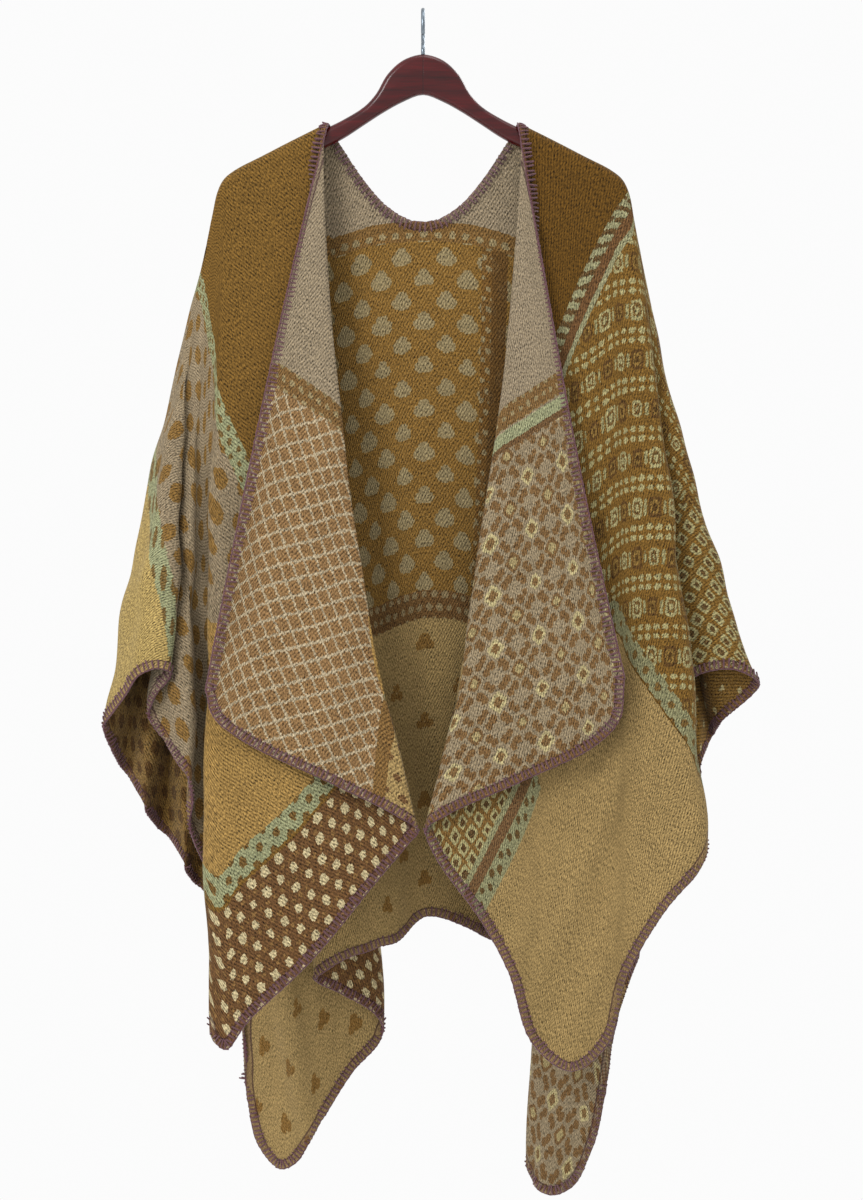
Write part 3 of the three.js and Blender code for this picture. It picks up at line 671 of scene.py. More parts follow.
def knit_ground():
    """Heather and wear of the yarns as a shade, with painted shade and light along the ribs, and the
    knit's ribs and nap as a height.
    """
    tree, w, _, made = shader_group("knit_ground", [], [("Shade", "float"), ("Height", "float")])
    flat = w.put("ShaderNodeUVMap", uv_map="flat_cloth").outputs[0]
    drawn = w.put("ShaderNodeMapping", {"Vector": flat, "Scale": (700, 380, 1)}).outputs[0]
    heather = w.put("ShaderNodeTexNoise", {"Vector": drawn, "Scale": 1, "Detail": 3, "Roughness": 0.6})
    shade = w.maths("MAXIMUM", w.maths("MULTIPLY_ADD", heather.outputs[0], 4.0, -1.12), 0.25)
    for scale, detail, depth in ((55, 3, 0.34), (9, 2, 0.16)):
        uneven = w.put("ShaderNodeTexNoise", {"Vector": flat, "Scale": scale, "Detail": detail})
        shade = w.maths("ADD", shade, w.maths("MULTIPLY_ADD", uneven.outputs[0], depth, -depth / 2))
    turned = w.put("ShaderNodeMapping", {"Vector": flat, "Rotation": (0, 0, 0.5)}).outputs[0]
    ribs = w.put(
        "ShaderNodeTexWave",
        {"Vector": turned, "Scale": 104, "Distortion": 1.4, "Detail": 2, "Detail Scale": 3},
    ).outputs[1]
    # The ribs also darken and lighten the colour in lines: painted shade in their grooves and painted
    # light on their ridges.
    shade = w.maths("ADD", shade, w.maths("MULTIPLY_ADD", ribs, 0.50, -0.25))
    nap = w.put("ShaderNodeTexNoise", {"Vector": flat, "Scale": 620, "Detail": 3})
    height = w.maths("MULTIPLY_ADD", ribs, 0.5, w.maths("MULTIPLY", nap.outputs[0], 0.8))
    w.tree.links.new(w.maths("MULTIPLY", shade, 0.80), made.inputs["Shade"])
    w.tree.links.new(height, made.inputs["Height"])
    return tree


PLACES, ROWS, GROUND = stepped_places(), motif_rows(), knit_ground()

# Colours of the knitted areas. Each is a mix of the yarns, which run through the whole cloth; the pale
# ochre low on the left front also holds painted light, and the deep ochre of the right ground holds
# painted shade.
OCHRE, OCHRE_DARK, OCHRE_LIT = linear("785927"), linear("74592d"), linear("a4834a")
OCHRE_SHADED, OCHRE_WARM = linear("644617"), linear("7c5c28")
TAN, SAND, STRAW = linear("a48a59"), linear("b49b5f"), linear("a89f70")
GREY, GREY_PLAIN, GREY_RINGS = linear("96866c"), linear("95866f"), linear("94846a")
CREAM, IVORY, THREAD = linear("b9ab7c"), linear("c6b68c"), linear("b3a385")
MINT, MINT_DIM, SAGE = linear("989b75"), linear("8f8d68"), linear("9a9772")
SPOT, RUST, HAZEL, CHESTNUT = linear("84632f"), linear("8b6a45"), linear("735628"), linear("6f4f30")
BROWN, BROWN_PALE, BARK = linear("694a2d"), linear("85643a"), linear("5c4120")
BORDER, BORDER_DOTS, LINING_SPOTS = linear("7a5a30"), linear("968661"), linear("93835f")
PLUM = linear("552f38")


class Chart(Wiring):
    """The chart of one face: motifs painted over each other, each within its own bounds."""

    def __init__(self, tree, ground):
        super().__init__(tree)
        self.across, self.along, self.side, self.cover = self.group(PLACES).outputs
        self.left = self.under(self.side, 0)
        self.right = self.over(self.side, 0)
        self.colour = ground

    def over(self, value, low):
        return self.maths("GREATER_THAN", value, low)

    def under(self, value, high):
        return self.maths("LESS_THAN", value, high)

    def band(self, value, low, high):
        return self.both(self.over(value, low), self.under(value, high))

    def both(self, *masks):
        made = masks[0]
        for mask in masks[1:]:
            made = self.maths("MULTIPLY", made, mask)
        return made

    def slanting(self, across, along, sideways, onwards):
        """The distance in a slanting direction, by its shares of across and along."""
        over_it = self.maths("MULTIPLY", across, sideways)
        return self.maths("ADD", over_it, self.maths("MULTIPLY", along, onwards))

    def paint(self, colour, *masks):
        """Knits a colour in where the masks meet, with a little of the yarn behind it showing through."""
        self.colour = self.mix(self.maths("MULTIPLY", self.both(*masks), self.cover), self.colour, colour)

    def motifs(self, across, along, pitch, rise, width, height, corner, stagger=0.0):
        """Motifs in rows, as their mask and the turn that every second one has."""
        return self.group(
            ROWS, Across=across, Along=along, Pitch=pitch, Rise=rise, Stagger=stagger,
            Width=width, Height=height, Corner=corner,
        ).outputs

    def dotted(self, ground, dots, mask, across, along, pitch, rise, size):
        """A ground with round dots in staggered rows."""
        self.paint(ground, mask)
        spots, _ = self.motifs(across, along, pitch, rise, size, size, 2.2, stagger=1.0)
        self.paint(dots, mask, spots)


def knit_finish(w, colour):
    """Heather, ribs and nap over the chart, with the mauve band that is drawn in by the edge stitches."""
    ground = w.group(GROUND)
    edge = w.put("ShaderNodeAttribute", attribute_name="edge_distance").outputs["Fac"]
    worked = w.maths("LESS_THAN", edge, EDGE_BAND)
    colour = w.mix(w.maths("MULTIPLY", worked, 0.3), colour, linear("6d4c4a"))
    rail = w.maths("LESS_THAN", w.maths("ABSOLUTE", w.maths("SUBTRACT", edge, EDGE_BAND)), EDGE_RAIL)
    colour = w.mix(w.maths("MULTIPLY", rail, 0.7), colour, linear("452a2f"))
    shaded = w.put("ShaderNodeVectorMath", {0: colour}, operation="SCALE")
    w.tree.links.new(ground.outputs["Shade"], shaded.inputs["Scale"])
    height = ground.outputs["Height"]
    bump = w.put("ShaderNodeBump", {"Height": height, "Strength": 0.55, "Distance": 0.0012})
    shader = w.put(
        "ShaderNodeBsdfPrincipled",
        {
            "Base Color": shaded.outputs[0], "Roughness": 0.93, "Normal": bump.outputs[0],
            "Specular IOR Level": 0.15, "Sheen Weight": 0.12, "Sheen Roughness": 0.4,
            "Sheen Tint": (0.85, 0.76, 0.6),
        },
    )
    w.put("ShaderNodeOutputMaterial", {"Surface": shader.outputs[0]})


def face_left_side(c, p, q):
    """A spotted ground between dotted mint bands, a plain sleeve and a checked block at the hem."""
    panel_end, hem_start, block_start, low_start = 0.246, 0.628, 0.653, 0.45
    spots, _ = c.motifs(
        p, q, pitch=0.044, rise=0.0225, width=0.0185, height=0.0175, corner=2.4, stagger=1.0
    )
    past_crest = c.maths("MAXIMUM", q, 0.127)
    slant = c.maths("MULTIPLY_ADD", past_crest, -0.903, c.maths("MULTIPLY_ADD", p, 0.43, -0.0573))
    above_hem = c.both(c.left, c.under(q, hem_start))
    beside_sleeve = c.maths("MAXIMUM", c.under(q, low_start), c.over(p, 0.56))
    field = c.both(above_hem, c.over(p, panel_end), c.under(slant, 0.0), beside_sleeve)
    # The pale ochre band low on the left front is painted lighter, as painted light from the upper left.
    c.paint(OCHRE_LIT, c.left, c.band(q, low_start, hem_start))
    c.paint(GREY, field)
    c.paint(SPOT, field, spots)
    c.paint(SAND, above_hem, c.over(slant, 0.008))
    upright = c.both(above_hem, c.band(p, 0.224, panel_end))
    slanted = c.both(c.left, c.band(slant, -0.008, 0.008), c.over(p, panel_end), c.under(q, low_start))
    c.dotted(MINT, OCHRE_DARK, upright, p, q, pitch=0.011, rise=0.0115, size=0.0062)
    c.dotted(MINT, OCHRE_DARK, slanted, slant, q, pitch=0.016, rise=0.0115, size=0.0075)
    hem_band = c.both(c.left, c.band(q, hem_start, 0.650))
    c.dotted(MINT, linear("6e4f22"), hem_band, q, p, pitch=0.022, rise=0.0115, size=0.0082)
    block = c.both(c.left, c.over(q, block_start))
    checks, _ = c.motifs(
        p, q, pitch=0.0185, rise=0.0155, width=0.0088, height=0.0086, corner=2.6, stagger=1.0
    )
    flecks, _ = c.motifs(
        p, c.maths("ADD", q, 0.00775),
        pitch=0.00925, rise=0.0155, width=0.0050, height=0.0042, corner=1.6, stagger=1.0,
    )
    c.paint(BROWN, block)
    c.paint(IVORY, block, checks)
    c.paint(BROWN_PALE, block, flecks)
    return spots


def face_right_side(c, p, q):
    """Plain ochre, an edge of slanted marks, nested squares, and a small block at the hem."""
    marks = c.both(c.right, c.band(p, 0.135, 0.149))
    leaning = c.maths("MULTIPLY_ADD", p, 0.6, q)
    cuts, _ = c.motifs(p, leaning, pitch=0.014, rise=0.0125, width=0.014, height=0.0062, corner=6.0)
    c.paint(SAGE, marks)
    c.paint(BARK, marks, cuts)
    c.paint(CHESTNUT, c.right, c.band(p, 0.149, 0.161))
    c.paint(SAGE, c.right, c.band(p, 0.161, 0.167))

    nested = c.both(c.right, c.over(p, 0.167), c.under(q, 0.42))
    down = c.maths("MULTIPLY", c.maths("ADD", p, q), 0.7071)
    side = c.maths("MULTIPLY", c.maths("SUBTRACT", p, q), 0.7071)
    c.paint(OCHRE_WARM, nested)
    for width, height, corner, first, second in (
        (0.0122, 0.0175, 5.0, STRAW, BARK),
        (0.0076, 0.0118, 5.0, linear("6a4c22"), linear("8a6c36")),
        (0.0038, 0.0062, 4.0, STRAW, linear("503818")),
    ):
        square, turn = c.motifs(side, down, 0.0215, 0.046, width, height, corner)
        c.paint(c.mix(turn, first, second), nested, square)
    for offset in (0.0185, 0.0275):
        pairs, _ = c.motifs(
            side, c.maths("ADD", down, offset),
            pitch=0.01075, rise=0.046, width=0.0070, height=0.0052, corner=2.6,
        )
        c.paint(STRAW, nested, pairs)
    halfway = c.maths("ADD", side, 0.01075)
    dashes, _ = c.motifs(halfway, down, pitch=0.0215, rise=0.046, width=0.0026, height=0.0130, corner=4.0)
    c.paint(linear("9b9468"), nested, dashes)

    hem_band = c.both(c.right, c.band(q, 0.42, 0.44))
    c.dotted(MINT_DIM, HAZEL, hem_band, q, p, pitch=0.020, rise=0.0115, size=0.0076)
    c.paint(TAN, c.right, c.over(q, 0.44))
    low = c.both(c.right, c.over(q, 0.592))
    block = c.both(c.right, c.band(p, 0.26, 0.325), c.over(q, 0.60))
    c.paint(MINT_DIM, low, c.band(p, 0.252, 0.365))
    c.paint(linear("7c5a2a"), block)
    for size, corner, yarn in ((0.0128, 5.0, STRAW), (0.0066, 4.0, linear("54391c"))):
        boxes, _ = c.motifs(p, q, pitch=0.0165, rise=0.0165, width=size, height=size, corner=corner)
        c.paint(yarn, block, boxes)
    c.paint(CHESTNUT, low, c.band(p, 0.332, 0.344))
    block_band = c.both(low, c.band(p, 0.346, 0.360))
    c.dotted(MINT_DIM, linear("5f4520"), block_band, p, q, pitch=0.014, rise=0.0105, size=0.0072)
    c.paint(MINT_DIM, low, c.band(p, 0.252, 0.260))

    sleeve = c.both(c.right, c.over(p, 0.47), c.under(q, 0.25))
    c.paint(OCHRE_WARM, sleeve)
    for size, yarn in ((0.0124, STRAW), (0.0064, BARK)):
        boxes, _ = c.motifs(side, down, pitch=0.0175, rise=0.0175, width=size, height=size, corner=5.0)
        c.paint(yarn, sleeve, boxes)


def jacquard_face():
    """The outer face, with painted light on the left and painted shade on the right, and the left side's
    spotted ground again on the back.
    """
    material, wiring = new_material("jacquard_face")
    c = Chart(wiring.tree, OCHRE_SHADED)
    p, q = c.across, c.maths("ABSOLUTE", c.along)
    # Painted light and shade: the ground is lighter on the left front and back and darker on the right, as
    # if lit from the upper left.
    from_middle = c.maths("MINIMUM", c.maths("MULTIPLY", p, 8.0), 1.0)
    painted_light_left = c.both(c.left, c.maths("MAXIMUM", c.over(c.along, 0), from_middle))
    c.colour = c.mix(painted_light_left, OCHRE_SHADED, OCHRE)
    spots = face_left_side(c, p, q)
    face_right_side(c, p, q)
    middle = c.both(c.under(c.along, -0.42), c.under(p, 0.0105))
    c.dotted(MINT_DIM, HAZEL, middle, c.maths("ADD", p, 0.01), q, pitch=0.020, rise=0.0115, size=0.0076)
    centre = c.both(c.band(c.along, -0.40, -0.03), c.under(p, 0.11))
    c.paint(GREY, centre)
    c.paint(SPOT, centre, spots)
    knit_finish(c, c.colour)
    return material


RING_PITCH = 0.037
RING_RADIUS = 0.016
RING_BLOBS = 8
BLOB_PITCH = 0.015
LEAN_SIDEWAYS, LEAN_ONWARDS = 0.616, 0.788


def blob_rings(c, mask, across, along):
    """Rings of small blobs round squares that take turns in two colours."""
    dark = linear("775833")
    c.paint(GREY_RINGS, mask)
    for size, first, second in ((0.0150, dark, CREAM), (0.0085, linear("a8976a"), dark)):
        square, turn = c.motifs(across, along, RING_PITCH, RING_PITCH, size, size, 5.0)
        c.paint(c.mix(turn, first, second), mask, square)

    def from_centre(value):
        cell = c.maths("FRACT", c.maths("DIVIDE", value, RING_PITCH))
        return c.maths("MULTIPLY", c.maths("SUBTRACT", cell, 0.5), RING_PITCH)

    u, v = from_centre(across), from_centre(along)
    away = c.maths("SQRT", c.maths("ADD", c.maths("MULTIPLY", u, u), c.maths("MULTIPLY", v, v)))
    round_it = c.maths("MULTIPLY", c.maths("ARCTAN2", v, u), RING_BLOBS * BLOB_PITCH / math.tau)
    rise = 0.010
    outwards = c.maths("ADD", away, rise / 2 - RING_RADIUS)
    blobs, _ = c.motifs(round_it, outwards, BLOB_PITCH, rise, width=0.0108, height=0.0082, corner=2.4)
    c.paint(dark, mask, c.band(away, 0.0110, 0.0210), blobs)


def lapel_charts(c, p, q):
    """The lapels: plain grey, a dotted border, then rings on the right and a lattice on the left."""
    front = c.over(q, 0.13)
    for across, where in (
        (p, c.both(c.right, c.over(q, 0.428))),
        (c.maths("MULTIPLY", p, 0.6), c.both(c.right, c.over(p, 0.4), c.under(q, -0.5))),
    ):
        turned = c.slanting(across, q, -LEAN_SIDEWAYS, LEAN_ONWARDS)
        square_to = c.slanting(across, q, LEAN_ONWARDS, LEAN_SIDEWAYS)
        blob_rings(c, where, turned, square_to)
    right_front = c.both(c.right, front)
    c.paint(linear("80602c"), right_front, c.over(q, 0.742))
    c.paint(GREY_PLAIN, right_front, c.under(q, 0.428))
    border = c.both(right_front, c.band(q, 0.385, 0.408))
    c.dotted(BORDER, BORDER_DOTS, border, p, q, pitch=0.012, rise=0.0115, size=0.0062)
    c.paint(MINT, right_front, c.band(q, 0.408, 0.421))
    c.paint(linear("6a4c2c"), right_front, c.band(q, 0.421, 0.428))

    left_front, plain_end = c.both(c.left, front), 0.402
    c.paint(GREY_PLAIN, left_front, c.under(q, plain_end))
    border = c.both(left_front, c.band(q, 0.378, plain_end))
    c.dotted(BORDER, BORDER_DOTS, border, p, q, pitch=0.012, rise=0.012, size=0.0062)
    lattice = c.both(left_front, c.over(q, plain_end), c.under(p, 0.2))
    c.paint(RUST, lattice)
    for shares in ((LEAN_SIDEWAYS, LEAN_ONWARDS), (LEAN_ONWARDS, -LEAN_SIDEWAYS)):
        way = c.slanting(p, q, *shares)
        c.paint(THREAD, lattice, c.under(c.maths("FLOORED_MODULO", way, 0.0148), 0.0026))
    c.paint(BORDER, left_front, c.over(q, plain_end), c.band(p, 0.2, 0.215))
    beyond = c.both(c.left, c.over(q, plain_end), c.over(p, 0.215))
    dots, _ = c.motifs(p, q, pitch=0.016, rise=0.018, width=0.0065, height=0.0075, corner=2.2, stagger=1.0)
    c.paint(BROWN, beyond, dots)


def lining_charts(c, p, q):
    """Inside the back: plain grey by the neck, a border, rounded spots, a border, then small marks."""
    back = c.under(q, 0.13)
    spotted = c.both(back, c.band(q, -0.395, -0.016))
    c.paint(GREY_PLAIN, back, c.over(q, 0.004))
    c.paint(linear("82602a"), spotted)
    for offset, width, height in ((0.0, 0.0215, 0.0155), (0.0052, 0.0130, 0.0145)):
        petals, _ = c.motifs(
            p, c.maths("SUBTRACT", q, offset), 0.044, 0.0235, width, height, corner=2.2, stagger=1.0
        )
        c.paint(LINING_SPOTS, spotted, petals)
    strip = c.both(c.right, c.band(p, 0.058, 0.070), spotted)
    c.dotted(linear("745327"), LINING_SPOTS, strip, p, q, pitch=0.012, rise=0.011, size=0.0062)
    # The dark brown stripe beside the dotted strip is painted shadow, where the back falls into shade by
    # the right lapel's fold.
    c.paint(linear("644722"), c.right, c.band(p, 0.070, 0.088), spotted)
    upper = c.both(back, c.band(q, -0.016, 0.004))
    c.dotted(BORDER, BORDER_DOTS, upper, p, q, pitch=0.014, rise=0.020, size=0.0080)
    lower = c.both(back, c.band(q, -0.425, -0.395))
    c.dotted(linear("6b4c2a"), linear("8f7d5a"), lower, p, q, pitch=0.012, rise=0.014, size=0.0072)
    right_tail = c.both(c.right, c.over(p, 0.4))
    sparse = c.both(back, c.under(q, -0.425), c.maths("SUBTRACT", 1.0, right_tail))
    for sideways, onwards in ((0.0042, 0.004), (-0.0042, 0.002), (0.0, -0.0052)):
        across = c.maths("MULTIPLY_ADD", p, 0.72, sideways)
        petals, _ = c.motifs(
            across, c.maths("ADD", q, onwards),
            pitch=0.070, rise=0.043, width=0.0098, height=0.0102, corner=2.2, stagger=1.0,
        )
        c.paint(linear("83612f"), sparse, petals)
    left_side = c.both(c.left, c.over(p, 0.5), c.band(q, -0.42, 0.13))
    c.dotted(linear("7c5f30"), linear("573c1c"), left_side, p, q, pitch=0.020, rise=0.0165, size=0.0112)
    right_side = c.both(c.right, c.over(p, 0.5), c.band(q, -0.42, 0.3))
    c.dotted(linear("84622a"), CREAM, right_side, p, q, pitch=0.026, rise=0.020, size=0.0062)


def jacquard_reverse():
    """The reverse face, which shows on the turned lapels, inside the back and on the tails."""
    material, wiring = new_material("jacquard_reverse")
    c = Chart(wiring.tree, TAN)
    lapel_charts(c, c.across, c.along)
    lining_charts(c, c.across, c.along)
    knit_finish(c, c.colour)
    return material


def plum_edge():
    material, wiring = new_material("plum_edge")
    knit_finish(wiring, PLUM)
    return material


CLOTH_MATERIALS = [jacquard_face(), jacquard_reverse(), plum_edge()]

# Cloth of the wrap
# The one sheet of knit, as closed walls between its lines: the left front, the back with its side
# falls, and the right front, which meet on the crests of the shoulders.
NEAR_COLUMNS = 24
CREST_GAP = 0.03
FACE, REVERSE, RIM = range(3)


def edge_distances():
    """How far each point of the cloth lies from the nearest edge: the hem, a slit edge or the neck."""
    steps = np.diff(cloth_points, axis=1, prepend=cloth_points[:, :1])
    run = np.cumsum(np.linalg.norm(steps, axis=2), axis=1)
    hem = cloth_points[:, -1]
    distance = np.full(run.shape, 1.0)
    for away in range(-NEAR_COLUMNS, NEAR_COLUMNS + 1):
        columns = np.clip(np.arange(len(hem)) + away, 0, len(hem) - 1)
        apart = np.linalg.norm(cloth_points - hem[columns][:, None], axis=2)
        distance = np.minimum(distance, apart)
    beside = np.linalg.norm(np.diff(cloth_points, axis=0), axis=2)
    side = np.concatenate([np.zeros((1, beside.shape[1])), np.cumsum(beside, axis=0)], axis=0)
    distance = np.minimum(distance, np.minimum(side, side[-1:] - side))
    by_neck = (np.abs(dense_lines[:, WAY]) < NECK_LONG) & (dense_lines[:, FACING] > 0)
    distance[by_neck] = np.minimum(distance[by_neck], run[by_neck])
    return distance


cloth_edge = edge_distances()


def cloth_shell(name, first, last):
    """The stretch of cloth between two lines, as a closed wall with its flat places as UV."""
    i, j = line_starts[line_names.index(first)], line_starts[line_names.index(last)]
    points, normals, flat = (a[i : j + 1].copy() for a in (cloth_points, cloth_normals, cloth_flat))
    if abs(dense_lines[i, FACING]) < 1e-6:
        points[0] += (points[1] - points[0]) * CREST_GAP
    if abs(dense_lines[j, FACING]) < 1e-6:
        points[-1] += (points[-2] - points[-1]) * CREST_GAP
    columns, rows = points.shape[:2]
    outside = points + normals * (CLOTH_WALL / 2)
    inside = points - normals * (CLOTH_WALL / 2)
    corners = np.concatenate([outside.reshape(-1, 3), inside.reshape(-1, 3)])
    places = np.concatenate([flat.reshape(-1, 2)] * 2)
    bends = np.concatenate([normals.reshape(-1, 3), -normals.reshape(-1, 3)])
    second = columns * rows
    faces, kinds = [], []
    for a in range(columns - 1):
        for b in range(rows - 1):
            k = a * rows + b
            faces.append((k, k + rows, k + rows + 1, k + 1))
            faces.append((second + k, second + k + 1, second + k + rows + 1, second + k + rows))
            kinds += [FACE, REVERSE]
    round_edge = [a * rows for a in range(columns)]
    round_edge += [(columns - 1) * rows + b for b in range(1, rows)]
    round_edge += [a * rows + rows - 1 for a in range(columns - 2, -1, -1)]
    round_edge += [b for b in range(rows - 2, 0, -1)]
    for a, b in zip(round_edge, round_edge[1:] + round_edge[:1]):
        faces.append((b, a, second + a, second + b))
        kinds.append(RIM)
    piece = mesh_piece(name, corners, faces, CLOTH_MATERIALS)
    mesh = piece.data
    mesh.polygons.foreach_set("material_index", kinds)
    loops = np.empty(len(mesh.loops), int)
    mesh.loops.foreach_get("vertex_index", loops)
    layer = mesh.uv_layers.new(name="flat_cloth")
    layer.data.foreach_set("uv", places[loops].ravel())
    edge = mesh.attributes.new("edge_distance", "FLOAT", "POINT")
    edge.data.foreach_set("value", np.tile(cloth_edge[i : j + 1].ravel(), 2))
    return piece, bends[loops], kinds


def smooth_faces(piece, bends, kinds):
    """Gives both faces of a shell their smooth normals, once it is known to face outwards."""
    shape = bmesh.new()
    shape.from_mesh(piece.data)
    if shape.calc_volume(signed=True) < 0:
        raise ValueError(piece.name + " is inside out")
    shape.free()
    mesh = piece.data
    flat_normals = np.empty(len(mesh.polygons) * 3)
    mesh.polygons.foreach_get("normal", flat_normals)
    flat_normals = flat_normals.reshape(-1, 3)
    for number, polygon in enumerate(mesh.polygons):
        if kinds[number] == RIM:
            for loop in polygon.loop_indices:
                bends[loop] = flat_normals[number]
    mesh.normals_split_custom_set(bends.tolist())


def cloth_piece(name, first, last, nodes):
    """One stretch of the wrap, which stands for its nodes of the solid model."""
    piece, bends, kinds = cloth_shell(name, first, last)
    smooth_faces(piece, bends, kinds)
    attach(piece, "root")
    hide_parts(*nodes)
    return piece


left_front = cloth_piece(
    "left_front_cloth", "front_left_slit_edge", "crest_left",
    ["lapel_left", "front_left", "return_left", "fold_left", "sleeve_left"],
)
back = cloth_piece(
    "back_cloth", "crest_left", "crest_right",
    [
        "side_left", "tail_left", "tail_left_fold", "back_left", "back_right", "tail_right_fold",
        "tail_right", "side_right", "yoke_left", "yoke_neck", "yoke_right",
    ],
)
right_front = cloth_piece(
    "right_front_cloth", "crest_right", "front_right_slit_edge",
    ["sleeve_right", "fold_right", "front_right", "lapel_right"],
)

# Blanket stitches
# Plum wool yarn worked over the raw edge all round: a leg on each face goes through the cloth, and
# the yarn is looped along the edge from one leg to the next, so that it makes a raised cord.
STITCH_PITCH = 4.6 * MM
STITCH_LEG = 9 * MM
YARN_RADIUS = 0.85 * MM
LEG_CLEAR = 1.0 * MM
LEG_YIELD = 3.5 * MM
LEG_SHORTEST = 0.2
STEADY = 0.9


def spun_yarn():
    material, w = new_material("spun_yarn")
    place = w.put("ShaderNodeTexCoord").outputs["Object"]
    heather = w.put("ShaderNodeTexNoise", {"Vector": place, "Scale": 420, "Detail": 3})
    broad = w.put("ShaderNodeTexNoise", {"Vector": place, "Scale": 30, "Detail": 2})
    share = w.maths("MULTIPLY_ADD", heather.outputs[0], 1.5, -0.25, clamp=True)
    colour = w.mix(share, linear("3d2429"), linear("714b51"))
    faded = w.maths("MULTIPLY_ADD", broad.outputs[0], 1.2, -0.35, clamp=True)
    colour = w.mix(w.maths("MULTIPLY", faded, 0.4), colour, linear("6d4c50"))
    strands = w.put("ShaderNodeTexNoise", {"Vector": place, "Scale": 1500, "Detail": 2})
    bump = w.put("ShaderNodeBump", {"Height": strands.outputs[0], "Strength": 0.5, "Distance": 0.0006})
    shader = w.put(
        "ShaderNodeBsdfPrincipled",
        {
            "Base Color": colour, "Roughness": 0.9, "Normal": bump.outputs[0],
            "Specular IOR Level": 0.25, "Sheen Weight": 0.25, "Sheen Roughness": 0.5,
        },
    )
    w.put("ShaderNodeOutputMaterial", {"Surface": shader.outputs[0]})
    return material


def blanket_stitch_tree():
    """Puts a blanket stitch on each point, turned by its "face" and "inward" directions."""
    tree = bpy.data.node_groups.new("blanket_stitch", "GeometryNodeTree")
    face = tree.interface
    face.new_socket("Edge", in_out="INPUT", socket_type="NodeSocketGeometry")
    for label in ("Leg", "Pitch", "Yarn Radius", "Cloth Half"):
        face.new_socket(label, in_out="INPUT", socket_type="NodeSocketFloat")
    face.new_socket("Seed", in_out="INPUT", socket_type="NodeSocketInt")
    face.new_socket("Yarn", in_out="INPUT", socket_type="NodeSocketMaterial")
    face.new_socket("Stitches", in_out="OUTPUT", socket_type="NodeSocketGeometry")
    w = Wiring(tree)
    given, made = w.put("NodeGroupInput").outputs, w.put("NodeGroupOutput")
    leg, pitch, yarn = given["Leg"], given["Pitch"], given["Yarn Radius"]
    high = w.maths("MULTIPLY_ADD", yarn, 0.55, given["Cloth Half"])
    low = w.maths("MULTIPLY", high, -1)

    def at(x, y, z):
        return w.put("ShaderNodeCombineXYZ", {"X": x, "Y": y, "Z": z}).outputs[0]

    loop = w.put(
        "GeometryNodeCurvePrimitiveBezierSegment",
        {
            "Start": at(0.0, leg, high), "End": at(0.0, leg, low), "Resolution": 9,
            "Start Handle": at(0.0, w.maths("MULTIPLY", leg, -0.33), w.maths("MULTIPLY", high, 1.9)),
            "End Handle": at(0.0, w.maths("MULTIPLY", leg, -0.33), w.maths("MULTIPLY", low, 1.9)),
        },
    )
    drop = w.maths("MULTIPLY", yarn, -0.5)
    cord = w.put(
        "GeometryNodeCurvePrimitiveLine",
        {
            "Start": at(w.maths("MULTIPLY", pitch, -0.62), drop, w.maths("MULTIPLY", yarn, 0.5)),
            "End": at(w.maths("MULTIPLY", pitch, 0.62), drop, w.maths("MULTIPLY", yarn, -0.5)),
        },
    )
    section = w.put("GeometryNodeCurvePrimitiveCircle", {"Resolution": 6, "Radius": yarn})
    bodies = []
    for route in (loop, cord):
        body = w.put(
            "GeometryNodeCurveToMesh",
            {"Curve": route.outputs[0], "Profile Curve": section.outputs[0], "Fill Caps": True},
        )
        bodies.append(body.outputs[0])
    both = w.tree.nodes.new("GeometryNodeJoinGeometry")
    for body in reversed(bodies):
        w.tree.links.new(body, both.inputs[0])
    directions = []
    for label in ("face", "inward"):
        named = w.put("GeometryNodeInputNamedAttribute", data_type="FLOAT_VECTOR")
        named.inputs["Name"].default_value = label
        directions.append(named.outputs["Attribute"])
    turned = w.put("FunctionNodeAxesToRotation", primary_axis="Z", secondary_axis="Y")
    w.tree.links.new(directions[0], turned.inputs[0])
    w.tree.links.new(directions[1], turned.inputs[1])
    lean = w.put("FunctionNodeRandomValue", data_type="FLOAT_VECTOR")
    lean.inputs[0].default_value = (-0.05, -0.05, -0.16)
    lean.inputs[1].default_value = (0.05, 0.05, 0.16)
    w.tree.links.new(given["Seed"], lean.inputs["Seed"])
    angle = w.put("FunctionNodeEulerToRotation", {0: lean.outputs[0]})
    leaning = w.put("FunctionNodeRotateRotation", rotation_space="LOCAL")
    w.tree.links.new(turned.outputs[0], leaning.inputs[0])
    w.tree.links.new(angle.outputs[0], leaning.inputs[1])
    length = w.put("FunctionNodeRandomValue", data_type="FLOAT_VECTOR")
    length.inputs[0].default_value = (0.97, 0.86, 0.99)
    length.inputs[1].default_value = (1.03, 1.10, 1.06)
    w.tree.links.new(w.maths("ADD", given["Seed"], 1.0), length.inputs["Seed"])
    shortened = w.put("GeometryNodeInputNamedAttribute", data_type="FLOAT")
    shortened.inputs["Name"].default_value = "reach"
    leg_scale = w.put("ShaderNodeVectorMath", {0: length.outputs[0]}, operation="MULTIPLY")
    w.tree.links.new(at(1.0, shortened.outputs["Attribute"], 1.0), leg_scale.inputs[1])
    copies = w.put("GeometryNodeInstanceOnPoints")
    w.tree.links.new(given["Edge"], copies.inputs["Points"])
    w.tree.links.new(both.outputs[0], copies.inputs["Instance"])
    w.tree.links.new(leaning.outputs[0], copies.inputs["Rotation"])
    w.tree.links.new(leg_scale.outputs[0], copies.inputs["Scale"])
    solid = w.put("GeometryNodeRealizeInstances", {"Geometry": copies.outputs[0]})
    dyed = w.put("GeometryNodeSetMaterial", {"Geometry": solid.outputs[0]})
    w.tree.links.new(given["Yarn"], dyed.inputs["Material"])
    w.tree.links.new(dyed.outputs[0], made.inputs[0])
    return tree


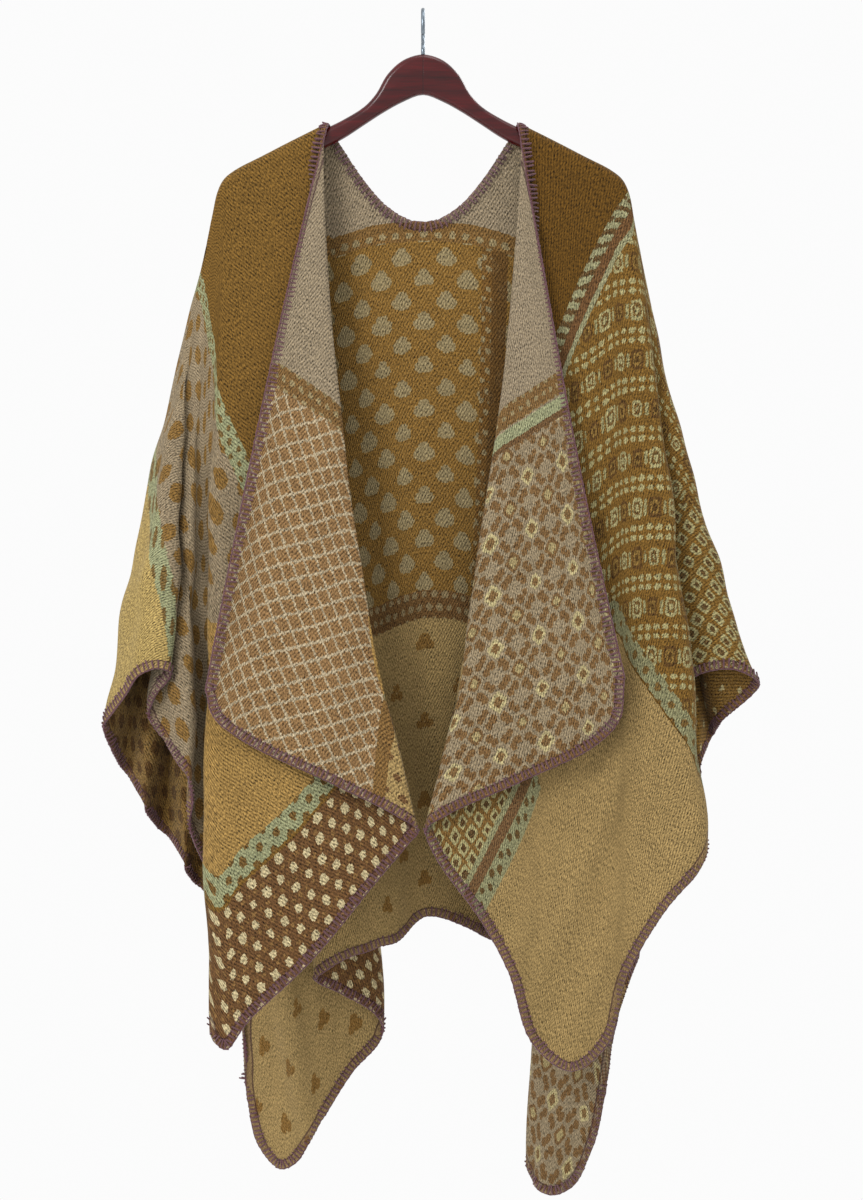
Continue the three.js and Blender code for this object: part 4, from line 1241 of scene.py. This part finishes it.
def edge_places(columns, side):
    """Points along one edge, the ways into the cloth and out of its face, and how much of a leg fits."""
    if side == "slit":
        line, out = cloth_points[columns[0]], cloth_normals[columns[0]]
    else:
        row = -1 if side == "hem" else 0
        line, out = cloth_points[columns, row], cloth_normals[columns, row]
    along = np.gradient(line, axis=0)
    inward = np.cross(along, out)
    if side == "top" or (side == "slit" and columns[0] > 0):
        inward = -inward
    inward /= np.maximum(np.linalg.norm(inward, axis=1, keepdims=True), 1e-9)
    reach = np.ones((len(line), 1))
    if side == "hem":
        for number, column in enumerate(columns):
            near = slice(max(0, column - NEAR_COLUMNS), column + NEAR_COLUMNS + 1)
            points, normals = (a[near, -6:].reshape(-1, 3) for a in (cloth_points, cloth_normals))
            tip = line[number] + inward[number] * STITCH_LEG
            nearest = np.argmin(np.linalg.norm(points - tip, axis=1))
            step = tip - points[nearest]
            off = abs(np.dot(step, normals[nearest])) + abs(np.dot(step, out[number]))
            reach[number] = np.clip(1 - (off - LEG_CLEAR) / LEG_YIELD, LEG_SHORTEST, 1)
    return line, inward, out, reach


def spaced(line, *directions):
    """The same edge at the stitches' even pitch."""
    run = np.concatenate([[0], np.cumsum(np.linalg.norm(np.diff(line, axis=0), axis=1))])
    count = max(2, int(run[-1] / STITCH_PITCH))
    places = (np.arange(count) + 0.5) * run[-1] / count
    return [
        np.stack([np.interp(places, run, values) for values in a.T], 1) for a in (line, *directions)
    ]


YARN = spun_yarn()
STITCH_TREE = blanket_stitch_tree()


def stitches(name, edges, seed):
    """Blanket stitches along some edges, as one mesh, apart from any where the edge has no steady way."""
    parts = [spaced(*edge) for edge in edges]
    line, inward, out, reach = (np.concatenate([part[k] for part in parts]) for k in range(4))
    kept = np.minimum(np.linalg.norm(inward, axis=1), np.linalg.norm(out, axis=1)) > STEADY
    line, inward, out, reach = line[kept], inward[kept], out[kept], reach[kept]
    mesh = bpy.data.meshes.new(name)
    mesh.from_pydata([tuple(p) for p in line], [], [])
    for label, values in (("inward", inward), ("face", out)):
        layer = mesh.attributes.new(label, "FLOAT_VECTOR", "POINT")
        layer.data.foreach_set("vector", values.ravel())
    mesh.attributes.new("reach", "FLOAT", "POINT").data.foreach_set("value", reach.ravel())
    piece = bpy.data.objects.new(name, mesh)
    bpy.context.scene.collection.objects.link(piece)
    worked = piece.modifiers.new("blanket_stitch", "NODES")
    worked.node_group = STITCH_TREE
    values = {
        "Leg": STITCH_LEG, "Pitch": STITCH_PITCH, "Yarn Radius": YARN_RADIUS,
        "Cloth Half": CLOTH_WALL / 2, "Seed": seed, "Yarn": YARN,
    }
    for item in STITCH_TREE.interface.items_tree:
        if item.in_out == "INPUT" and item.name in values:
            worked[item.identifier] = values[item.name]
    bpy.context.view_layer.update()
    worked_piece = piece.evaluated_get(bpy.context.evaluated_depsgraph_get())
    finished = bpy.data.meshes.new_from_object(worked_piece)
    piece.modifiers.remove(worked)
    finished.name = name
    for label in ("inward", "face", "reach"):
        if label in finished.attributes:
            finished.attributes.remove(finished.attributes[label])
    piece.data = finished
    finished.polygons.foreach_set("use_smooth", [True] * len(finished.polygons))
    if not finished.materials:
        finished.materials.append(YARN)
    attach(piece, "root")
    return piece


crest_one = line_starts[line_names.index("crest_left")]
crest_two = line_starts[line_names.index("crest_right")]
last_column = len(dense_lines) - 1
neck_columns = np.flatnonzero(np.abs(dense_lines[:, WAY]) < NECK_LONG * 0.999)
neck_columns = neck_columns[(neck_columns > crest_one) & (neck_columns < crest_two)]
left_stitches = stitches(
    "left_front_stitches",
    [edge_places(np.arange(0, crest_one + 1), "hem"), edge_places(np.array([0]), "slit")],
    seed=3,
)
back_stitches = stitches(
    "back_stitches",
    [edge_places(np.arange(crest_one, crest_two + 1), "hem"), edge_places(neck_columns, "top")],
    seed=5,
)
right_stitches = stitches(
    "right_front_stitches",
    [
        edge_places(np.arange(crest_two, last_column + 1), "hem"),
        edge_places(np.array([last_column]), "slit"),
    ],
    seed=7,
)

# Floor
# A plain pale floor under the hung garment, which isn't part of the object.
FLOOR = -1.62
FLOOR_HALF = 2.3


def pale_floor():
    material, w = new_material("pale_floor")
    place = w.put("ShaderNodeTexCoord").outputs["Object"]
    tone = w.put("ShaderNodeTexNoise", {"Vector": place, "Scale": 1.5, "Detail": 2})
    colour = w.mix(tone.outputs[0], (0.84, 0.84, 0.84), (0.88, 0.88, 0.88))
    shader = w.put("ShaderNodeBsdfPrincipled", {"Base Color": colour, "Roughness": 0.95})
    w.put("ShaderNodeOutputMaterial", {"Surface": shader.outputs[0]})
    return material


floor_sides = ((-1, -1), (1, -1), (1, 1), (-1, 1))
floor_corners = [(x * FLOOR_HALF, y * FLOOR_HALF, FLOOR) for x, y in floor_sides]
floor = mesh_piece("floor", floor_corners, [(0, 1, 2, 3)], [pale_floor()])

# Lights
# Plain soft studio light from all round, with a broad lamp to the upper left and one above.
world = bpy.data.worlds.new("studio")
bpy.context.scene.world = world
world.use_nodes = True
background = world.node_tree.nodes["Background"]
background.inputs["Color"].default_value = (1.0, 1.0, 1.0, 1)
background.inputs["Strength"].default_value = 0.97


def soft_lamp(name, place, target, size, power):
    """A rectangular lamp that looks at its target."""
    lamp = bpy.data.lights.new(name, "AREA")
    lamp.shape = "RECTANGLE"
    lamp.size, lamp.size_y = size
    lamp.energy = power
    holder = bpy.data.objects.new(name, lamp)
    holder.location = place
    holder.rotation_euler = (Vector(target) - Vector(place)).to_track_quat("-Z", "Y").to_euler()
    bpy.context.scene.collection.objects.link(holder)


soft_lamp("key_lamp", (-1.7, -2.2, 1.0), (0, 0, -0.55), (1.0, 1.2), 52)
soft_lamp("top_lamp", (0.3, -0.4, 1.7), (0, 0, -0.6), (1.2, 1.0), 12)
soft_lamp("rear_lamp", (1.6, 2.0, 0.9), (0, 0.1, -0.5), (1.0, 1.2), 22)

# Camera
# Level, square on to the garment's front and far enough back for little perspective.
VIEW_AWAY = 3.5
VIEW_HIGH = 1.2
SENSOR_HIGH = 36
lens = bpy.data.cameras.new("camera")
lens.sensor_fit = "VERTICAL"
lens.sensor_height = SENSOR_HIGH
lens.lens = SENSOR_HIGH * VIEW_AWAY / VIEW_HIGH
camera = bpy.data.objects.new("camera", lens)
camera.location = (8.5 * MM, -VIEW_AWAY, -588 * MM)
camera.rotation_euler = (math.pi / 2, 0, 0)
bpy.context.scene.collection.objects.link(camera)
bpy.context.scene.camera = camera
bpy.context.scene.view_settings.view_transform = "Standard"
